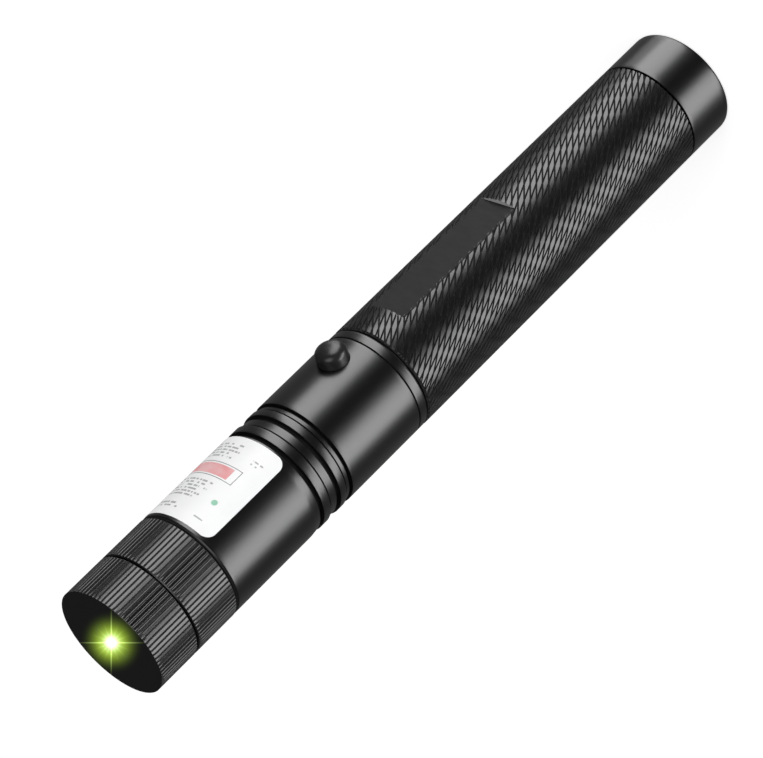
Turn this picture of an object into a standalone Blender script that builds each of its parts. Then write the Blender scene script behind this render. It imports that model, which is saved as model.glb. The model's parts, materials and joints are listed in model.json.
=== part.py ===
"""Pocket laser pointer: screwed barrel, fluted focusing ring and pattern cap, tail key lock.

The barrel stands on its tail with its axis on Z. The beam leaves along +Z and the push button
faces -Y. Every size is in metres, and heights are measured from the face of the tail cap.
"""
import math

import bmesh
import bpy
from mathutils import Vector

# Battery cell, which sizes the tube round it
CELL_RADIUS = 0.0092
CELL_LENGTH = 0.0640
CELL_EDGE_BREAK = 0.0006
CELL_CAP_RADIUS = 0.0029
CELL_CAP_RISE = 0.0012
CELL_WASHER_THICKNESS = 0.0003

# Barrel sections that nothing inside sizes
TAIL_CAP_LENGTH = 0.01095
FOCUS_RING_LENGTH = 0.0104
STAR_CAP_LENGTH = 0.00975

# Walls of the barrel
TUBE_WALL = 0.0020
HEAD_WALL = 0.0022
SEAT_STEP = 0.0007
TUBE_NECK_WALL = 0.0019
FOCUS_NECK_WALL = 0.0024
STAR_NECK_WALL = 0.0020
LENS_SEAT_WALL = 0.0042

# Clearances and edges
FIT = 0.0003
EDGE_BREAK = 0.00012
SEAM_BREAK = 0.00035
TAIL_EDGE_BREAK = 0.0004
OVERRUN = 0.001
WELD = 0.000001

# Facets
BARREL_SIDES = 36
CORE_SIDES = 18
SMALL_SIDES = 12
PIN_SIDES = 6
SEAL_SIDES = 20
SEAL_SECTION_SIDES = 6
SMOOTH_ANGLE = math.radians(32)

# Battery tube
TUBE_NECK_LENGTH = 0.0050
FLAT_DEPTH = 0.00086
FLAT_LENGTH = 0.0327
FLAT_BELOW_HEAD = 0.0066

# Sealing rings, each in a groove of the neck that carries it
RING_GROOVE_WIDTH = 0.0014
RING_GROOVE_DEPTH = 0.0011
RING_TO_SHOULDER = 0.0006

# Head housing, outside
COLLAR_LINE_HEIGHT = 0.0024
COLLAR_LINE_WIDTH = 0.00025
COLLAR_LINE_DEPTH = 0.00025
BANDS_HEIGHT = 0.0216
LOW_GROOVE_WIDTH = 0.0006
WIDE_GROOVE_WIDTH = 0.0009
FINE_GROOVE_WIDTH = 0.0004
LOW_FLOOR_WIDTH = 0.00072
HIGH_FLOOR_WIDTH = 0.00154
LOW_LAND_WIDTH = 0.00154
HIGH_LAND_WIDTH = 0.00182
BEVEL_WIDTH = 0.00166
GROOVE_DEPTH = 0.0009
FINE_DEPTH = 0.0006
FLOOR_DEPTH = 0.00035
BEVEL_DEPTH = 0.0002

# Head housing, inside
BOARD_STEP_HEIGHT = 0.0025
MODULE_TO_NECK = 0.0016

# Sticker on the head
LABEL_TO_GROOVE = 0.00048
LABEL_TO_FOCUS_RING = 0.0010
LABEL_THICKNESS = 0.0001
LABEL_CORNER_RADIUS = 0.0020
LABEL_START_ANGLE = math.radians(-42.5)
LABEL_SPAN_ANGLE = math.radians(150)
LABEL_COLUMNS = 20
CORNER_COLUMNS = 4

# Push button and the switch under it
BUTTON_RADIUS = 0.00287
BUTTON_PROUD = 0.0032
BUTTON_DOME_RISE = 0.0013
BUTTON_DOME_STEPS = 5
BUTTON_FLANGE_RADIUS = 0.0037
BUTTON_FLANGE_THICKNESS = 0.0010
BUTTON_STROKE = 0.0005
SWITCH_WIDTH = 0.0060
SWITCH_TO_BOARD_END = 0.0006
SWITCH_CASE_TO_FLANGE = 0.0010
SWITCH_CASE_THICKNESS = 0.0033
PLUNGER_RADIUS = 0.0016
PLUNGER_LENGTH = 0.0014
TERMINAL_WIDTH = 0.0007
TERMINAL_THICKNESS = 0.0004
TERMINAL_HEIGHT = 0.0018

# Boards and driver parts
BOARD_THICKNESS = 0.0012
DRIVER_BOARD_LENGTH = 0.0165
DRIVER_BOARD_WIDTH = 0.0140
CHIP_WIDTH = 0.0050
CHIP_LENGTH = 0.0040
CHIP_THICKNESS = 0.0015
CHIP_HEIGHT = 0.0075
COIL_RADIUS = 0.0024
COIL_WAIST_RADIUS = 0.0018
COIL_THICKNESS = 0.0026
COIL_FLANGE_THICKNESS = 0.0006
COIL_HEIGHT = 0.0020
COIL_OFFSET = 0.0036
RESISTOR_WIDTH = 0.0010
RESISTOR_LENGTH = 0.0020
RESISTOR_THICKNESS = 0.0005
RESISTOR_PITCH = 0.0022
RESISTOR_COUNT = 2

# Springs
WIRE_RADIUS = 0.0003
CONTACT_SPRING_LENGTH = 0.0089
CONTACT_SPRING_RADIUS = 0.0030
CONTACT_SPRING_TIP_RADIUS = 0.0020
CONTACT_SPRING_TURNS = 6
TAIL_SPRING_LENGTH = 0.00695
TAIL_SPRING_RADIUS = 0.0045
TAIL_SPRING_TIP_RADIUS = 0.0034
TAIL_SPRING_TURNS = 5
POINTS_PER_TURN = 8
WIRE_RESOLUTION = 1

# Laser module, as long as its heat sink
MODULE_RADIUS = 0.0060
MODULE_LENGTH = 0.0256
MODULE_CORE_RADIUS = 0.0046
MODULE_LIP_RADIUS = 0.0034
MODULE_LIP_LENGTH = 0.0015
CLAMP_THICKNESS = 0.0012
CLAMP_HOLE_RADIUS = 0.0024
DIODE_FLANGE_THICKNESS = 0.0012
DIODE_CAN_RADIUS = 0.0023
DIODE_CAN_LENGTH = 0.0032
PIN_RADIUS = 0.00025
PIN_LENGTH = 0.0050
PIN_CIRCLE_RADIUS = 0.00127
PIN_COUNT = 3
MOUNT_LENGTH = 0.0035
MOUNT_HOLE_RADIUS = 0.0016
MOUNT_TO_DIODE = 0.0012
CRYSTAL_WIDTH = 0.0018
EXPANDER_TO_MOUNT = 0.0022
EXPANDER_LENGTH = 0.0030
EXPANDER_HOLE_RADIUS = 0.0018
EXPANDER_SEAT_DEPTH = 0.0018
EXPANDER_LENS_RADIUS = 0.0026
EXPANDER_LENS_THICKNESS = 0.0012
EXPANDER_LENS_DISH = 0.0005
FILTER_TO_EXPANDER = 0.0015
FILTER_THICKNESS = 0.0008

# Focusing ring and pattern cap
FLUTE_COUNT = 80
FLUTE_DEPTH = 0.00028
FLUTE_WIDTH = 0.00034
CAP_NECK_LENGTH = 0.0047
LENS_SEAT_HEIGHT = 0.0008
LENS_THICKNESS = 0.0024
LENS_CROWN = 0.0007
LENS_STEPS = 4
RETAINER_LENGTH = 0.0012
RETAINER_HOLE_RADIUS = 0.0052
STAR_LIP_THICKNESS = 0.0005
APERTURE_RADIUS = 0.0040
WINDOW_THICKNESS = 0.0013
WINDOW_BOSS_RECESS = 0.0002
GRATING_THICKNESS = 0.0004
GRATING_RETAINER_LENGTH = 0.0014
GRATING_RETAINER_HOLE_RADIUS = 0.0048

# Tail cap and key lock
TAIL_WALL_THICKNESS = 0.0025
LOCK_RADIUS = 0.0050
LOCK_FLANGE_TO_WALL = 0.0013
LOCK_FLANGE_THICKNESS = 0.0012
LOCK_BODY_RADIUS = 0.0055
LOCK_BODY_LENGTH = 0.0046
LOCK_BORE_RADIUS = 0.0037
LOCK_FACE_RECESS = 0.0001
PLUG_FACE_RECESS = 0.0002
NUT_LENGTH = 0.0020
SPACER_WALL = 0.0008
BOARD_RING_LENGTH = 0.0015
BOARD_RING_HOLE_RADIUS = 0.0062
CAM_THICKNESS = 0.0008
CAM_TONGUE_LENGTH = 0.0016
CAM_TONGUE_WIDTH = 0.0024
KEYWAY_WIDTH = 0.0011
KEYWAY_LENGTH = 0.0044
KEYWAY_DEPTH = 0.0050
CONTACT_PAD_WIDTH = 0.0026
CONTACT_PAD_THICKNESS = 0.0009

# Radii of the barrel, its bores and its necks, worked outwards from the cell
CELL_BORE_RADIUS = CELL_RADIUS + FIT
BARREL_RADIUS = CELL_BORE_RADIUS + TUBE_WALL
TUBE_NECK_RADIUS = CELL_BORE_RADIUS + SEAT_STEP
TUBE_NECK_BORE_RADIUS = TUBE_NECK_RADIUS - TUBE_NECK_WALL
HEAD_BORE_RADIUS = BARREL_RADIUS - HEAD_WALL
HEAT_SINK_RADIUS = HEAD_BORE_RADIUS - FIT
CAP_NECK_RADIUS = HEAD_BORE_RADIUS - FIT
FOCUS_BORE_RADIUS = CAP_NECK_RADIUS - FOCUS_NECK_WALL
STAR_BORE_RADIUS = CAP_NECK_RADIUS - STAR_NECK_WALL
LENS_BORE_RADIUS = BARREL_RADIUS - LENS_SEAT_WALL
LOCK_FLANGE_RADIUS = TUBE_NECK_BORE_RADIUS - LOCK_FLANGE_TO_WALL

# Heights inside the tail cap, worked up from its face
FLANGE_LOW = TAIL_WALL_THICKNESS + FIT
NUT_LOW = FLANGE_LOW + LOCK_FLANGE_THICKNESS + FIT
LOCK_TOP = FLANGE_LOW + LOCK_FLANGE_THICKNESS + LOCK_BODY_LENGTH
SPACER_LOW = NUT_LOW + NUT_LENGTH + FIT
CAM_LOW = LOCK_TOP + FIT
CONTACT_PAD_LOW = CAM_LOW + CAM_THICKNESS + FIT
CONTACT_PAD_HIGH = CONTACT_PAD_LOW + CONTACT_PAD_THICKNESS
TAIL_BOARD_LOW = CONTACT_PAD_HIGH + FIT
TAIL_BOARD_HIGH = TAIL_BOARD_LOW + BOARD_THICKNESS

# Heights of the battery cell between its two springs
TAIL_SPRING_LOW = TAIL_BOARD_HIGH + FIT
TAIL_SPRING_HIGH = TAIL_SPRING_LOW + TAIL_SPRING_LENGTH
CELL_LOW = TAIL_SPRING_HIGH + FIT
CELL_HIGH = CELL_LOW + CELL_LENGTH
CELL_CAP_LOW = CELL_HIGH + FIT
CELL_CAP_HIGH = CELL_CAP_LOW + CELL_CAP_RISE
CONTACT_SPRING_LOW = CELL_CAP_HIGH + FIT
CONTACT_SPRING_HIGH = CONTACT_SPRING_LOW + CONTACT_SPRING_LENGTH

# Heights inside the head
CONTACT_BOARD_LOW = CONTACT_SPRING_HIGH + FIT
CONTACT_BOARD_HIGH = CONTACT_BOARD_LOW + BOARD_THICKNESS
DRIVER_BOARD_LOW = CONTACT_BOARD_HIGH + FIT
DRIVER_BOARD_HIGH = DRIVER_BOARD_LOW + DRIVER_BOARD_LENGTH
HEAT_SINK_LOW = DRIVER_BOARD_HIGH + FIT
HEAT_SINK_HIGH = HEAT_SINK_LOW + MODULE_LENGTH
BUTTON_AXIS = DRIVER_BOARD_LOW + SWITCH_TO_BOARD_END + SWITCH_WIDTH / 2

# Heights of the barrel's shoulders and seams
BOARD_STEP = CONTACT_BOARD_LOW - FIT
HEAD_SHOULDER = BOARD_STEP - BOARD_STEP_HEIGHT
TUBE_TOP = HEAD_SHOULDER - FIT
FOCUS_SHOULDER = HEAT_SINK_HIGH + MODULE_TO_NECK + CAP_NECK_LENGTH
HEAD_TOP = FOCUS_SHOULDER - FIT
FOCUS_TOP = HEAD_TOP + FOCUS_RING_LENGTH
STAR_SHOULDER = FOCUS_TOP + FIT
BARREL_TOP = FOCUS_TOP + STAR_CAP_LENGTH

# Distances of the button's parts from the barrel's axis
FLANGE_FACE = math.sqrt(HEAD_BORE_RADIUS ** 2 - BUTTON_FLANGE_RADIUS ** 2) - FIT
FLANGE_BACK = FLANGE_FACE - BUTTON_FLANGE_THICKNESS
SWITCH_TOP = FLANGE_BACK - SWITCH_CASE_TO_FLANGE
SWITCH_BACK = SWITCH_TOP - SWITCH_CASE_THICKNESS
BOARD_FACE = SWITCH_BACK - FIT
BOARD_BACK = BOARD_FACE - BOARD_THICKNESS
PLUNGER_TOP = FLANGE_BACK - FIT
PLUNGER_TIP = PLUNGER_TOP - PLUNGER_LENGTH
PLUNGER_WELL_FLOOR = PLUNGER_TIP - BUTTON_STROKE - FIT

# Heights inside the module, worked up from its tail end
CLAMP_LOW = HEAT_SINK_LOW + FIT
DIODE_LOW = CLAMP_LOW + CLAMP_THICKNESS + FIT
DIODE_FLANGE_HIGH = DIODE_LOW + DIODE_FLANGE_THICKNESS
MOUNT_LOW = DIODE_FLANGE_HIGH + DIODE_CAN_LENGTH + MOUNT_TO_DIODE
EXPANDER_LOW = MOUNT_LOW + MOUNT_LENGTH + EXPANDER_TO_MOUNT
EXPANDER_SEAT = EXPANDER_LOW + EXPANDER_LENGTH - EXPANDER_SEAT_DEPTH
FILTER_LOW = EXPANDER_LOW + EXPANDER_LENGTH + FILTER_TO_EXPANDER


def material(name, colour, roughness, metallic):
    """Principled material with one colour, roughness and metallic value."""
    made = bpy.data.materials.new(name)
    made.use_nodes = True
    shader = made.node_tree.nodes["Principled BSDF"]
    shader.inputs["Base Color"].default_value = (*colour, 1)
    shader.inputs["Roughness"].default_value = roughness
    shader.inputs["Metallic"].default_value = metallic
    made.diffuse_color = (*colour, 1)
    return made


def make_materials():
    """All finishes of the pointer, by name."""
    return {
        "anodised": material("black_anodised", (0.022, 0.022, 0.024), 0.34, 0.85),
        "rubber": material("black_rubber", (0.012, 0.012, 0.012), 0.75, 0),
        "button": material("button_plastic", (0.020, 0.020, 0.023), 0.28, 0),
        "paper": material("label_paper", (0.86, 0.86, 0.87), 0.55, 0),
        "glass": material("coated_glass", (0.55, 0.78, 0.60), 0.08, 0),
        "film": material("grating_film", (0.70, 0.85, 0.72), 0.20, 0),
        "brass": material("turned_brass", (0.72, 0.53, 0.24), 0.30, 1),
        "aluminium": material("bare_aluminium", (0.72, 0.73, 0.74), 0.35, 1),
        "nickel": material("nickel_plate", (0.66, 0.65, 0.62), 0.25, 1),
        "spring": material("spring_steel", (0.55, 0.55, 0.56), 0.30, 1),
        "board": material("circuit_board", (0.05, 0.25, 0.09), 0.45, 0),
        "component": material("component_black", (0.03, 0.03, 0.03), 0.50, 0),
        "sleeve": material("cell_sleeve", (0.08, 0.20, 0.52), 0.35, 0),
        "fibre": material("insulating_fibre", (0.80, 0.78, 0.72), 0.70, 0),
        "crystal": material("laser_crystal", (0.60, 0.45, 0.70), 0.05, 0),
    }


def body_empty(name, height, parent=None):
    """Empty on the barrel's axis that carries the pieces of one moving body."""
    empty = bpy.data.objects.new(name, None)
    bpy.context.collection.objects.link(empty)
    empty.location = (0, 0, height)
    if parent:
        empty.parent = parent
        empty.matrix_parent_inverse = parent.matrix_world.inverted()
    bpy.context.view_layer.update()
    return empty


def hang(obj, body):
    """Parent an object to its body's empty and leave it where it is."""
    obj.parent = body
    obj.matrix_parent_inverse = body.matrix_world.inverted()


def add_object(name, bm, finish, body):
    """Turn a bmesh into a named object with one material, smooth where it is round."""
    bmesh.ops.recalc_face_normals(bm, faces=bm.faces)
    mesh = bpy.data.meshes.new(name)
    bm.to_mesh(mesh)
    bm.free()
    mesh.shade_smooth()
    mesh.set_sharp_from_angle(angle=SMOOTH_ANGLE)
    obj = bpy.data.objects.new(name, mesh)
    bpy.context.collection.objects.link(obj)
    if finish:
        mesh.materials.append(finish)
    if body:
        hang(obj, body)
    return obj


def spin_outline(bm, outline, sides):
    """Spin an outline of (radius, height) points round Z; its ends close it or lie on the axis."""
    verts = [bm.verts.new((radius, 0, height)) for radius, height in outline]
    pairs = list(zip(verts, verts[1:]))
    if outline[0][0] > 0 or outline[-1][0] > 0:
        pairs.append((verts[-1], verts[0]))
    edges = [bm.edges.new(pair) for pair in pairs]
    bmesh.ops.spin(bm, geom=verts + edges, cent=(0, 0, 0), axis=(0, 0, 1), angle=math.tau,
                   steps=sides, use_merge=True, use_duplicate=False)
    bmesh.ops.remove_doubles(bm, verts=bm.verts, dist=WELD)


def turned(name, outline, finish, body, sides=CORE_SIDES):
    """Lathe-turned solid."""
    bm = bmesh.new()
    spin_outline(bm, outline, sides)
    return add_object(name, bm, finish, body)


def block(name, low, high, finish, body):
    """Box between two opposite corners."""
    bm = bmesh.new()
    add_block(bm, low, high)
    return add_object(name, bm, finish, body)


def add_block(bm, low, high):
    """Add a box between two opposite corners to a bmesh."""
    made = bmesh.ops.create_cube(bm, size=1)
    low, high = Vector(low), Vector(high)
    for vert in made["verts"]:
        share = vert.co + Vector((0.5, 0.5, 0.5))
        vert.co = Vector(a + (b - a) * s for a, b, s in zip(low, high, share))


def as_cutter(obj):
    """Mark an object as a cutting tool that is not part of the model."""
    obj.hide_render = True
    obj.display_type = "WIRE"
    return obj


def combine(target, tool, operation):
    """Boolean modifier on the target."""
    modifier = target.modifiers.new(tool.name, "BOOLEAN")
    modifier.operation = operation
    modifier.object = tool
    modifier.solver = "EXACT"


def cut(target, tool):
    """Take the tool's shape out of the target."""
    combine(target, as_cutter(tool), "DIFFERENCE")


def join(target, tool):
    """Grow the target by the tool's shape."""
    combine(target, as_cutter(tool), "UNION")


def face_button_side(obj, height):
    """Turn an object from its own +Z to the barrel's -Y, at a height."""
    obj.rotation_euler = (math.radians(90), 0, 0)
    obj.location = (0, 0, height)
    bpy.context.view_layer.update()


def ring_outline(inner, outer, low, high, edge=EDGE_BREAK):
    """Plain ring or, with no inner radius, disc, with its two outer edges broken."""
    return [(inner, low), (outer - edge, low), (outer, low + edge),
            (outer, high - edge), (outer - edge, high), (inner, high)]


def plain_ring(inner, outer, low, high):
    """Sharp-edged ring or, with no inner radius, disc."""
    return [(inner, low), (outer, low), (outer, high), (inner, high)]


def walk(radius, height, steps):
    """Outer wall that climbs in steps of (drop below the radius, length)."""
    points = []
    for drop, length in steps:
        points.append((radius - drop, height))
        height += length
        points.append((radius - drop, height))
    return points, height


def ring_groove_floor(neck_radius):
    """Radius of the floor of a sealing ring's groove."""
    return neck_radius - RING_GROOVE_DEPTH


def neck_wall(neck_radius, shoulder, tip, climbs):
    """Outer wall of a neck from its shoulder to its tip, with the sealing ring's groove.

    The neck climbs from its shoulder, or hangs below it, and its tip has a broken edge.
    """
    way = 1 if climbs else -1
    near = shoulder + way * RING_TO_SHOULDER
    far = near + way * RING_GROOVE_WIDTH
    floor = ring_groove_floor(neck_radius)
    return [(neck_radius, shoulder), (neck_radius, near), (floor, near), (floor, far),
            (neck_radius, far), (neck_radius, tip - way * EDGE_BREAK), (neck_radius - EDGE_BREAK, tip)]


def sealing_ring(name, neck_radius, shoulder, climbs, finish, body):
    """Round-section ring that floats in a neck's groove, clear of the bore round it."""
    way = 1 if climbs else -1
    middle = shoulder + way * (RING_TO_SHOULDER + RING_GROOVE_WIDTH / 2)
    floor = ring_groove_floor(neck_radius)
    wall = neck_radius + FIT
    section = (wall - floor) / 2 - FIT
    centre = (wall + floor) / 2
    outline = []
    for i in range(SEAL_SECTION_SIDES):
        angle = math.tau * i / SEAL_SECTION_SIDES
        outline.append((centre + section * math.cos(angle), middle + section * math.sin(angle)))
    return turned(name, outline, finish, body, SEAL_SIDES)


def bent_plate(name, inner, outer, low, high, margin, corner, finish, body):
    """Plate with round corners wrapped round the barrel over the sticker's angles.

    The margin widens it all round. Columns run along the arc, close together in the corners,
    where a column at a distance d from the end is shortened by r - sqrt(r^2 - (r - d)^2).
    """
    widen = margin / outer
    start = LABEL_START_ANGLE - widen
    span = LABEL_SPAN_ANGLE + 2 * widen
    arc = span * outer
    corner += margin
    near = [corner * (1 - math.cos(math.pi / 2 * i / CORNER_COLUMNS)) for i in range(CORNER_COLUMNS)]
    middle = [corner + (arc - 2 * corner) * i / LABEL_COLUMNS for i in range(LABEL_COLUMNS + 1)]
    places = near + middle + [arc - place for place in reversed(near)]
    bm = bmesh.new()
    columns = []
    for place in places:
        inside = max(corner - min(place, arc - place), 0)
        trim = corner - math.sqrt(max(corner ** 2 - inside ** 2, 0))
        angle = start + place / outer - math.pi / 2
        columns.append([
            bm.verts.new((radius * math.cos(angle), radius * math.sin(angle), height))
            for radius, height in ((outer, low - margin + trim), (outer, high + margin - trim),
                                   (inner, high + margin - trim), (inner, low - margin + trim))])
    for before, after in zip(columns, columns[1:]):
        for i in range(len(before)):
            j = (i + 1) % len(before)
            bm.faces.new((before[i], after[i], after[j], before[j]))
    bm.faces.new(columns[0])
    bm.faces.new(reversed(columns[-1]))
    return add_object(name, bm, finish, body)


def fluted_bar(name, low, high, finish, body):
    """Full bar of the barrel's radius with V flutes cut all round it, along its length."""
    bm = bmesh.new()
    half_width = FLUTE_WIDTH / 2 / BARREL_RADIUS
    points = []
    for i in range(FLUTE_COUNT):
        middle = math.tau * i / FLUTE_COUNT
        for radius, angle in ((BARREL_RADIUS, middle - half_width),
                              (BARREL_RADIUS - FLUTE_DEPTH, middle),
                              (BARREL_RADIUS, middle + half_width)):
            points.append(bm.verts.new((radius * math.cos(angle), radius * math.sin(angle), low)))
    base = bm.faces.new(points)
    raised = bmesh.ops.extrude_face_region(bm, geom=[base])["geom"]
    tops = [item for item in raised if isinstance(item, bmesh.types.BMVert)]
    bmesh.ops.translate(bm, verts=tops, vec=(0, 0, high - low))
    return add_object(name, bm, finish, body)


def coil(name, low, high, low_radius, high_radius, turns, finish, body):
    """Round-wire spring on the axis whose radius tapers evenly with its height.

    The wire's middle stays one wire radius inside the two heights.
    """
    foot = low + WIRE_RADIUS
    rise = high - low - 2 * WIRE_RADIUS
    count = turns * POINTS_PER_TURN
    points = []
    for i in range(count + 1):
        share = i / count
        angle = math.tau * i / POINTS_PER_TURN
        radius = low_radius + (high_radius - low_radius) * share
        points.append(Vector((radius * math.cos(angle), radius * math.sin(angle), foot + rise * share)))
    print(name, "least gap between turns:", least_gap(points))
    curve = bpy.data.curves.new(name, "CURVE")
    curve.dimensions = "3D"
    spline = curve.splines.new("POLY")
    spline.points.add(count)
    for point, place in zip(spline.points, points):
        point.co = (*place, 1)
    curve.bevel_depth = WIRE_RADIUS
    curve.bevel_resolution = WIRE_RESOLUTION
    curve.use_fill_caps = True
    obj = bpy.data.objects.new(name, curve)
    bpy.context.collection.objects.link(obj)
    curve.materials.append(finish)
    hang(obj, body)
    return obj


def least_gap(points):
    """Smallest clear space between a wire and itself, half a turn or more apart."""
    apart = POINTS_PER_TURN // 2
    spaces = [(points[j] - points[i]).length
              for i in range(len(points)) for j in range(i + apart, len(points))]
    return min(spaces) - 2 * WIRE_RADIUS


def battery_tube(finish, body):
    """Main tube: cell bore, a wider seat for a neck at each end, and the milled flat."""
    low = TAIL_CAP_LENGTH + FIT
    seat_radius = TUBE_NECK_RADIUS + FIT
    seat_depth = TUBE_NECK_LENGTH + FIT
    outline = [(seat_radius, low), (BARREL_RADIUS - EDGE_BREAK, low), (BARREL_RADIUS, low + EDGE_BREAK),
               (BARREL_RADIUS, TUBE_TOP - SEAM_BREAK), (BARREL_RADIUS - SEAM_BREAK, TUBE_TOP),
               (seat_radius, TUBE_TOP), (seat_radius, TUBE_TOP - seat_depth),
               (CELL_BORE_RADIUS, TUBE_TOP - seat_depth), (CELL_BORE_RADIUS, low + seat_depth),
               (seat_radius, low + seat_depth)]
    tube = turned("battery_tube", outline, finish, body, BARREL_SIDES)
    flat_high = TUBE_TOP - FLAT_BELOW_HEAD
    reach = BARREL_RADIUS + OVERRUN
    cut(tube, block("flat_cutter", (-reach, -reach, flat_high - FLAT_LENGTH),
                    (reach, FLAT_DEPTH - BARREL_RADIUS, flat_high), None, None))


def cell_pieces(finishes, body):
    """Rechargeable cell with its washer and raised positive cap."""
    turned("battery_cell", ring_outline(0, CELL_RADIUS, CELL_LOW, CELL_HIGH, CELL_EDGE_BREAK),
           finishes["sleeve"], body, BARREL_SIDES)
    turned("cell_positive_cap", ring_outline(0, CELL_CAP_RADIUS, CELL_CAP_LOW, CELL_CAP_HIGH),
           finishes["nickel"], body)
    washer_high = CELL_CAP_LOW + CELL_WASHER_THICKNESS
    turned("cell_insulator_ring",
           plain_ring(CELL_CAP_RADIUS + FIT, CELL_RADIUS - CELL_EDGE_BREAK, CELL_CAP_LOW, washer_high),
           finishes["fibre"], body)


def head_wall():
    """Outer wall of the head from its shoulder up, and the height where its last groove ends."""
    collar = TUBE_TOP + COLLAR_LINE_HEIGHT
    lines, _ = walk(BARREL_RADIUS, collar, ((0, 0), (COLLAR_LINE_DEPTH, COLLAR_LINE_WIDTH), (0, 0)))
    steps = ((0, 0), (GROOVE_DEPTH, LOW_GROOVE_WIDTH), (FLOOR_DEPTH, LOW_FLOOR_WIDTH),
             (FINE_DEPTH, FINE_GROOVE_WIDTH), (0, LOW_LAND_WIDTH), (GROOVE_DEPTH, WIDE_GROOVE_WIDTH),
             (FLOOR_DEPTH, HIGH_FLOOR_WIDTH), (FINE_DEPTH, FINE_GROOVE_WIDTH), (0, HIGH_LAND_WIDTH),
             (GROOVE_DEPTH, WIDE_GROOVE_WIDTH), (BEVEL_DEPTH, 0))
    ribs, height = walk(BARREL_RADIUS, TUBE_TOP + BANDS_HEIGHT, steps)
    return lines + ribs + [(BARREL_RADIUS, height + BEVEL_WIDTH)], height


def label_heights():
    """Low and high edge of the sticker, between the last groove and the focusing ring."""
    return head_wall()[1] + LABEL_TO_GROOVE, HEAD_TOP - LABEL_TO_FOCUS_RING


def without_repeats(points):
    """The same outline with no point twice in a row."""
    return [point for i, point in enumerate(points) if point != points[i - 1]]


def head_housing(finish, body):
    """Head: neck into the tube, button hole, grip bands, sticker seat and module bore."""
    neck_tip = HEAD_SHOULDER - TUBE_NECK_LENGTH
    outline = [(TUBE_NECK_BORE_RADIUS, neck_tip)]
    outline += reversed(neck_wall(TUBE_NECK_RADIUS, HEAD_SHOULDER, neck_tip, False))
    outline += [(BARREL_RADIUS - SEAM_BREAK, HEAD_SHOULDER), (BARREL_RADIUS, HEAD_SHOULDER + SEAM_BREAK)]
    outline += head_wall()[0]
    outline += [(BARREL_RADIUS, HEAD_TOP - SEAM_BREAK), (BARREL_RADIUS - SEAM_BREAK, HEAD_TOP),
                (HEAD_BORE_RADIUS, HEAD_TOP), (HEAD_BORE_RADIUS, BOARD_STEP),
                (TUBE_NECK_BORE_RADIUS, BOARD_STEP)]
    head = turned("head_housing", without_repeats(outline), finish, body, BARREL_SIDES)
    hole = turned("button_hole_cutter",
                  ring_outline(0, BUTTON_RADIUS + FIT, SWITCH_TOP, BARREL_RADIUS + OVERRUN),
                  None, None, CORE_SIDES)
    face_button_side(hole, BUTTON_AXIS)
    cut(head, hole)
    low, high = label_heights()
    cut(head, bent_plate("label_seat_cutter", BARREL_RADIUS - LABEL_THICKNESS - FIT,
                         BARREL_RADIUS + OVERRUN, low, high, FIT, LABEL_CORNER_RADIUS, None, None))


def label(finish, body):
    """Sticker in its shallow seat, level with the barrel."""
    low, high = label_heights()
    bent_plate("label", BARREL_RADIUS - LABEL_THICKNESS, BARREL_RADIUS, low, high, 0,
               LABEL_CORNER_RADIUS, finish, body)


def push_button(finishes, body):
    """Domed button with a flange that the housing holds in, and the switch's plunger."""
    shoulder = BARREL_RADIUS + BUTTON_PROUD - BUTTON_DOME_RISE
    outline = [(0, FLANGE_BACK), (BUTTON_FLANGE_RADIUS, FLANGE_BACK),
               (BUTTON_FLANGE_RADIUS, FLANGE_FACE), (BUTTON_RADIUS, FLANGE_FACE)]
    for i in range(BUTTON_DOME_STEPS):
        angle = math.pi / 2 * i / BUTTON_DOME_STEPS
        outline.append((BUTTON_RADIUS * math.cos(angle), shoulder + BUTTON_DOME_RISE * math.sin(angle)))
    outline.append((0, BARREL_RADIUS + BUTTON_PROUD))
    button = turned("switch_button", outline, finishes["button"], None)
    plunger = turned("switch_plunger", ring_outline(0, PLUNGER_RADIUS, PLUNGER_TIP, PLUNGER_TOP),
                     finishes["component"], None, SMALL_SIDES)
    for obj in (button, plunger):
        face_button_side(obj, BUTTON_AXIS)
        hang(obj, body)


def tact_switch(finishes, body):
    """Switch case with the plunger's well, and its four terminals down to the board."""
    half = SWITCH_WIDTH / 2
    case = block("tact_switch", (-half, -SWITCH_TOP, BUTTON_AXIS - half),
                 (half, -SWITCH_BACK, BUTTON_AXIS + half), finishes["component"], body)
    well = turned("plunger_well_cutter",
                  ring_outline(0, PLUNGER_RADIUS + FIT, PLUNGER_WELL_FLOOR, SWITCH_TOP + OVERRUN),
                  None, None, SMALL_SIDES)
    face_button_side(well, BUTTON_AXIS)
    cut(case, well)
    inner = half + FIT
    foot = BOARD_FACE + FIT
    corners = [(side, row) for side in (-1, 1) for row in (-1, 1)]
    for number, (side, row) in enumerate(corners, 1):
        near, far = sorted((side * inner, side * (inner + TERMINAL_THICKNESS)))
        z = BUTTON_AXIS + row * (half - TERMINAL_WIDTH)
        block(f"switch_terminal_{number}", (near, -foot - TERMINAL_HEIGHT, z - TERMINAL_WIDTH / 2),
              (far, -foot, z + TERMINAL_WIDTH / 2), finishes["nickel"], body)


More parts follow.
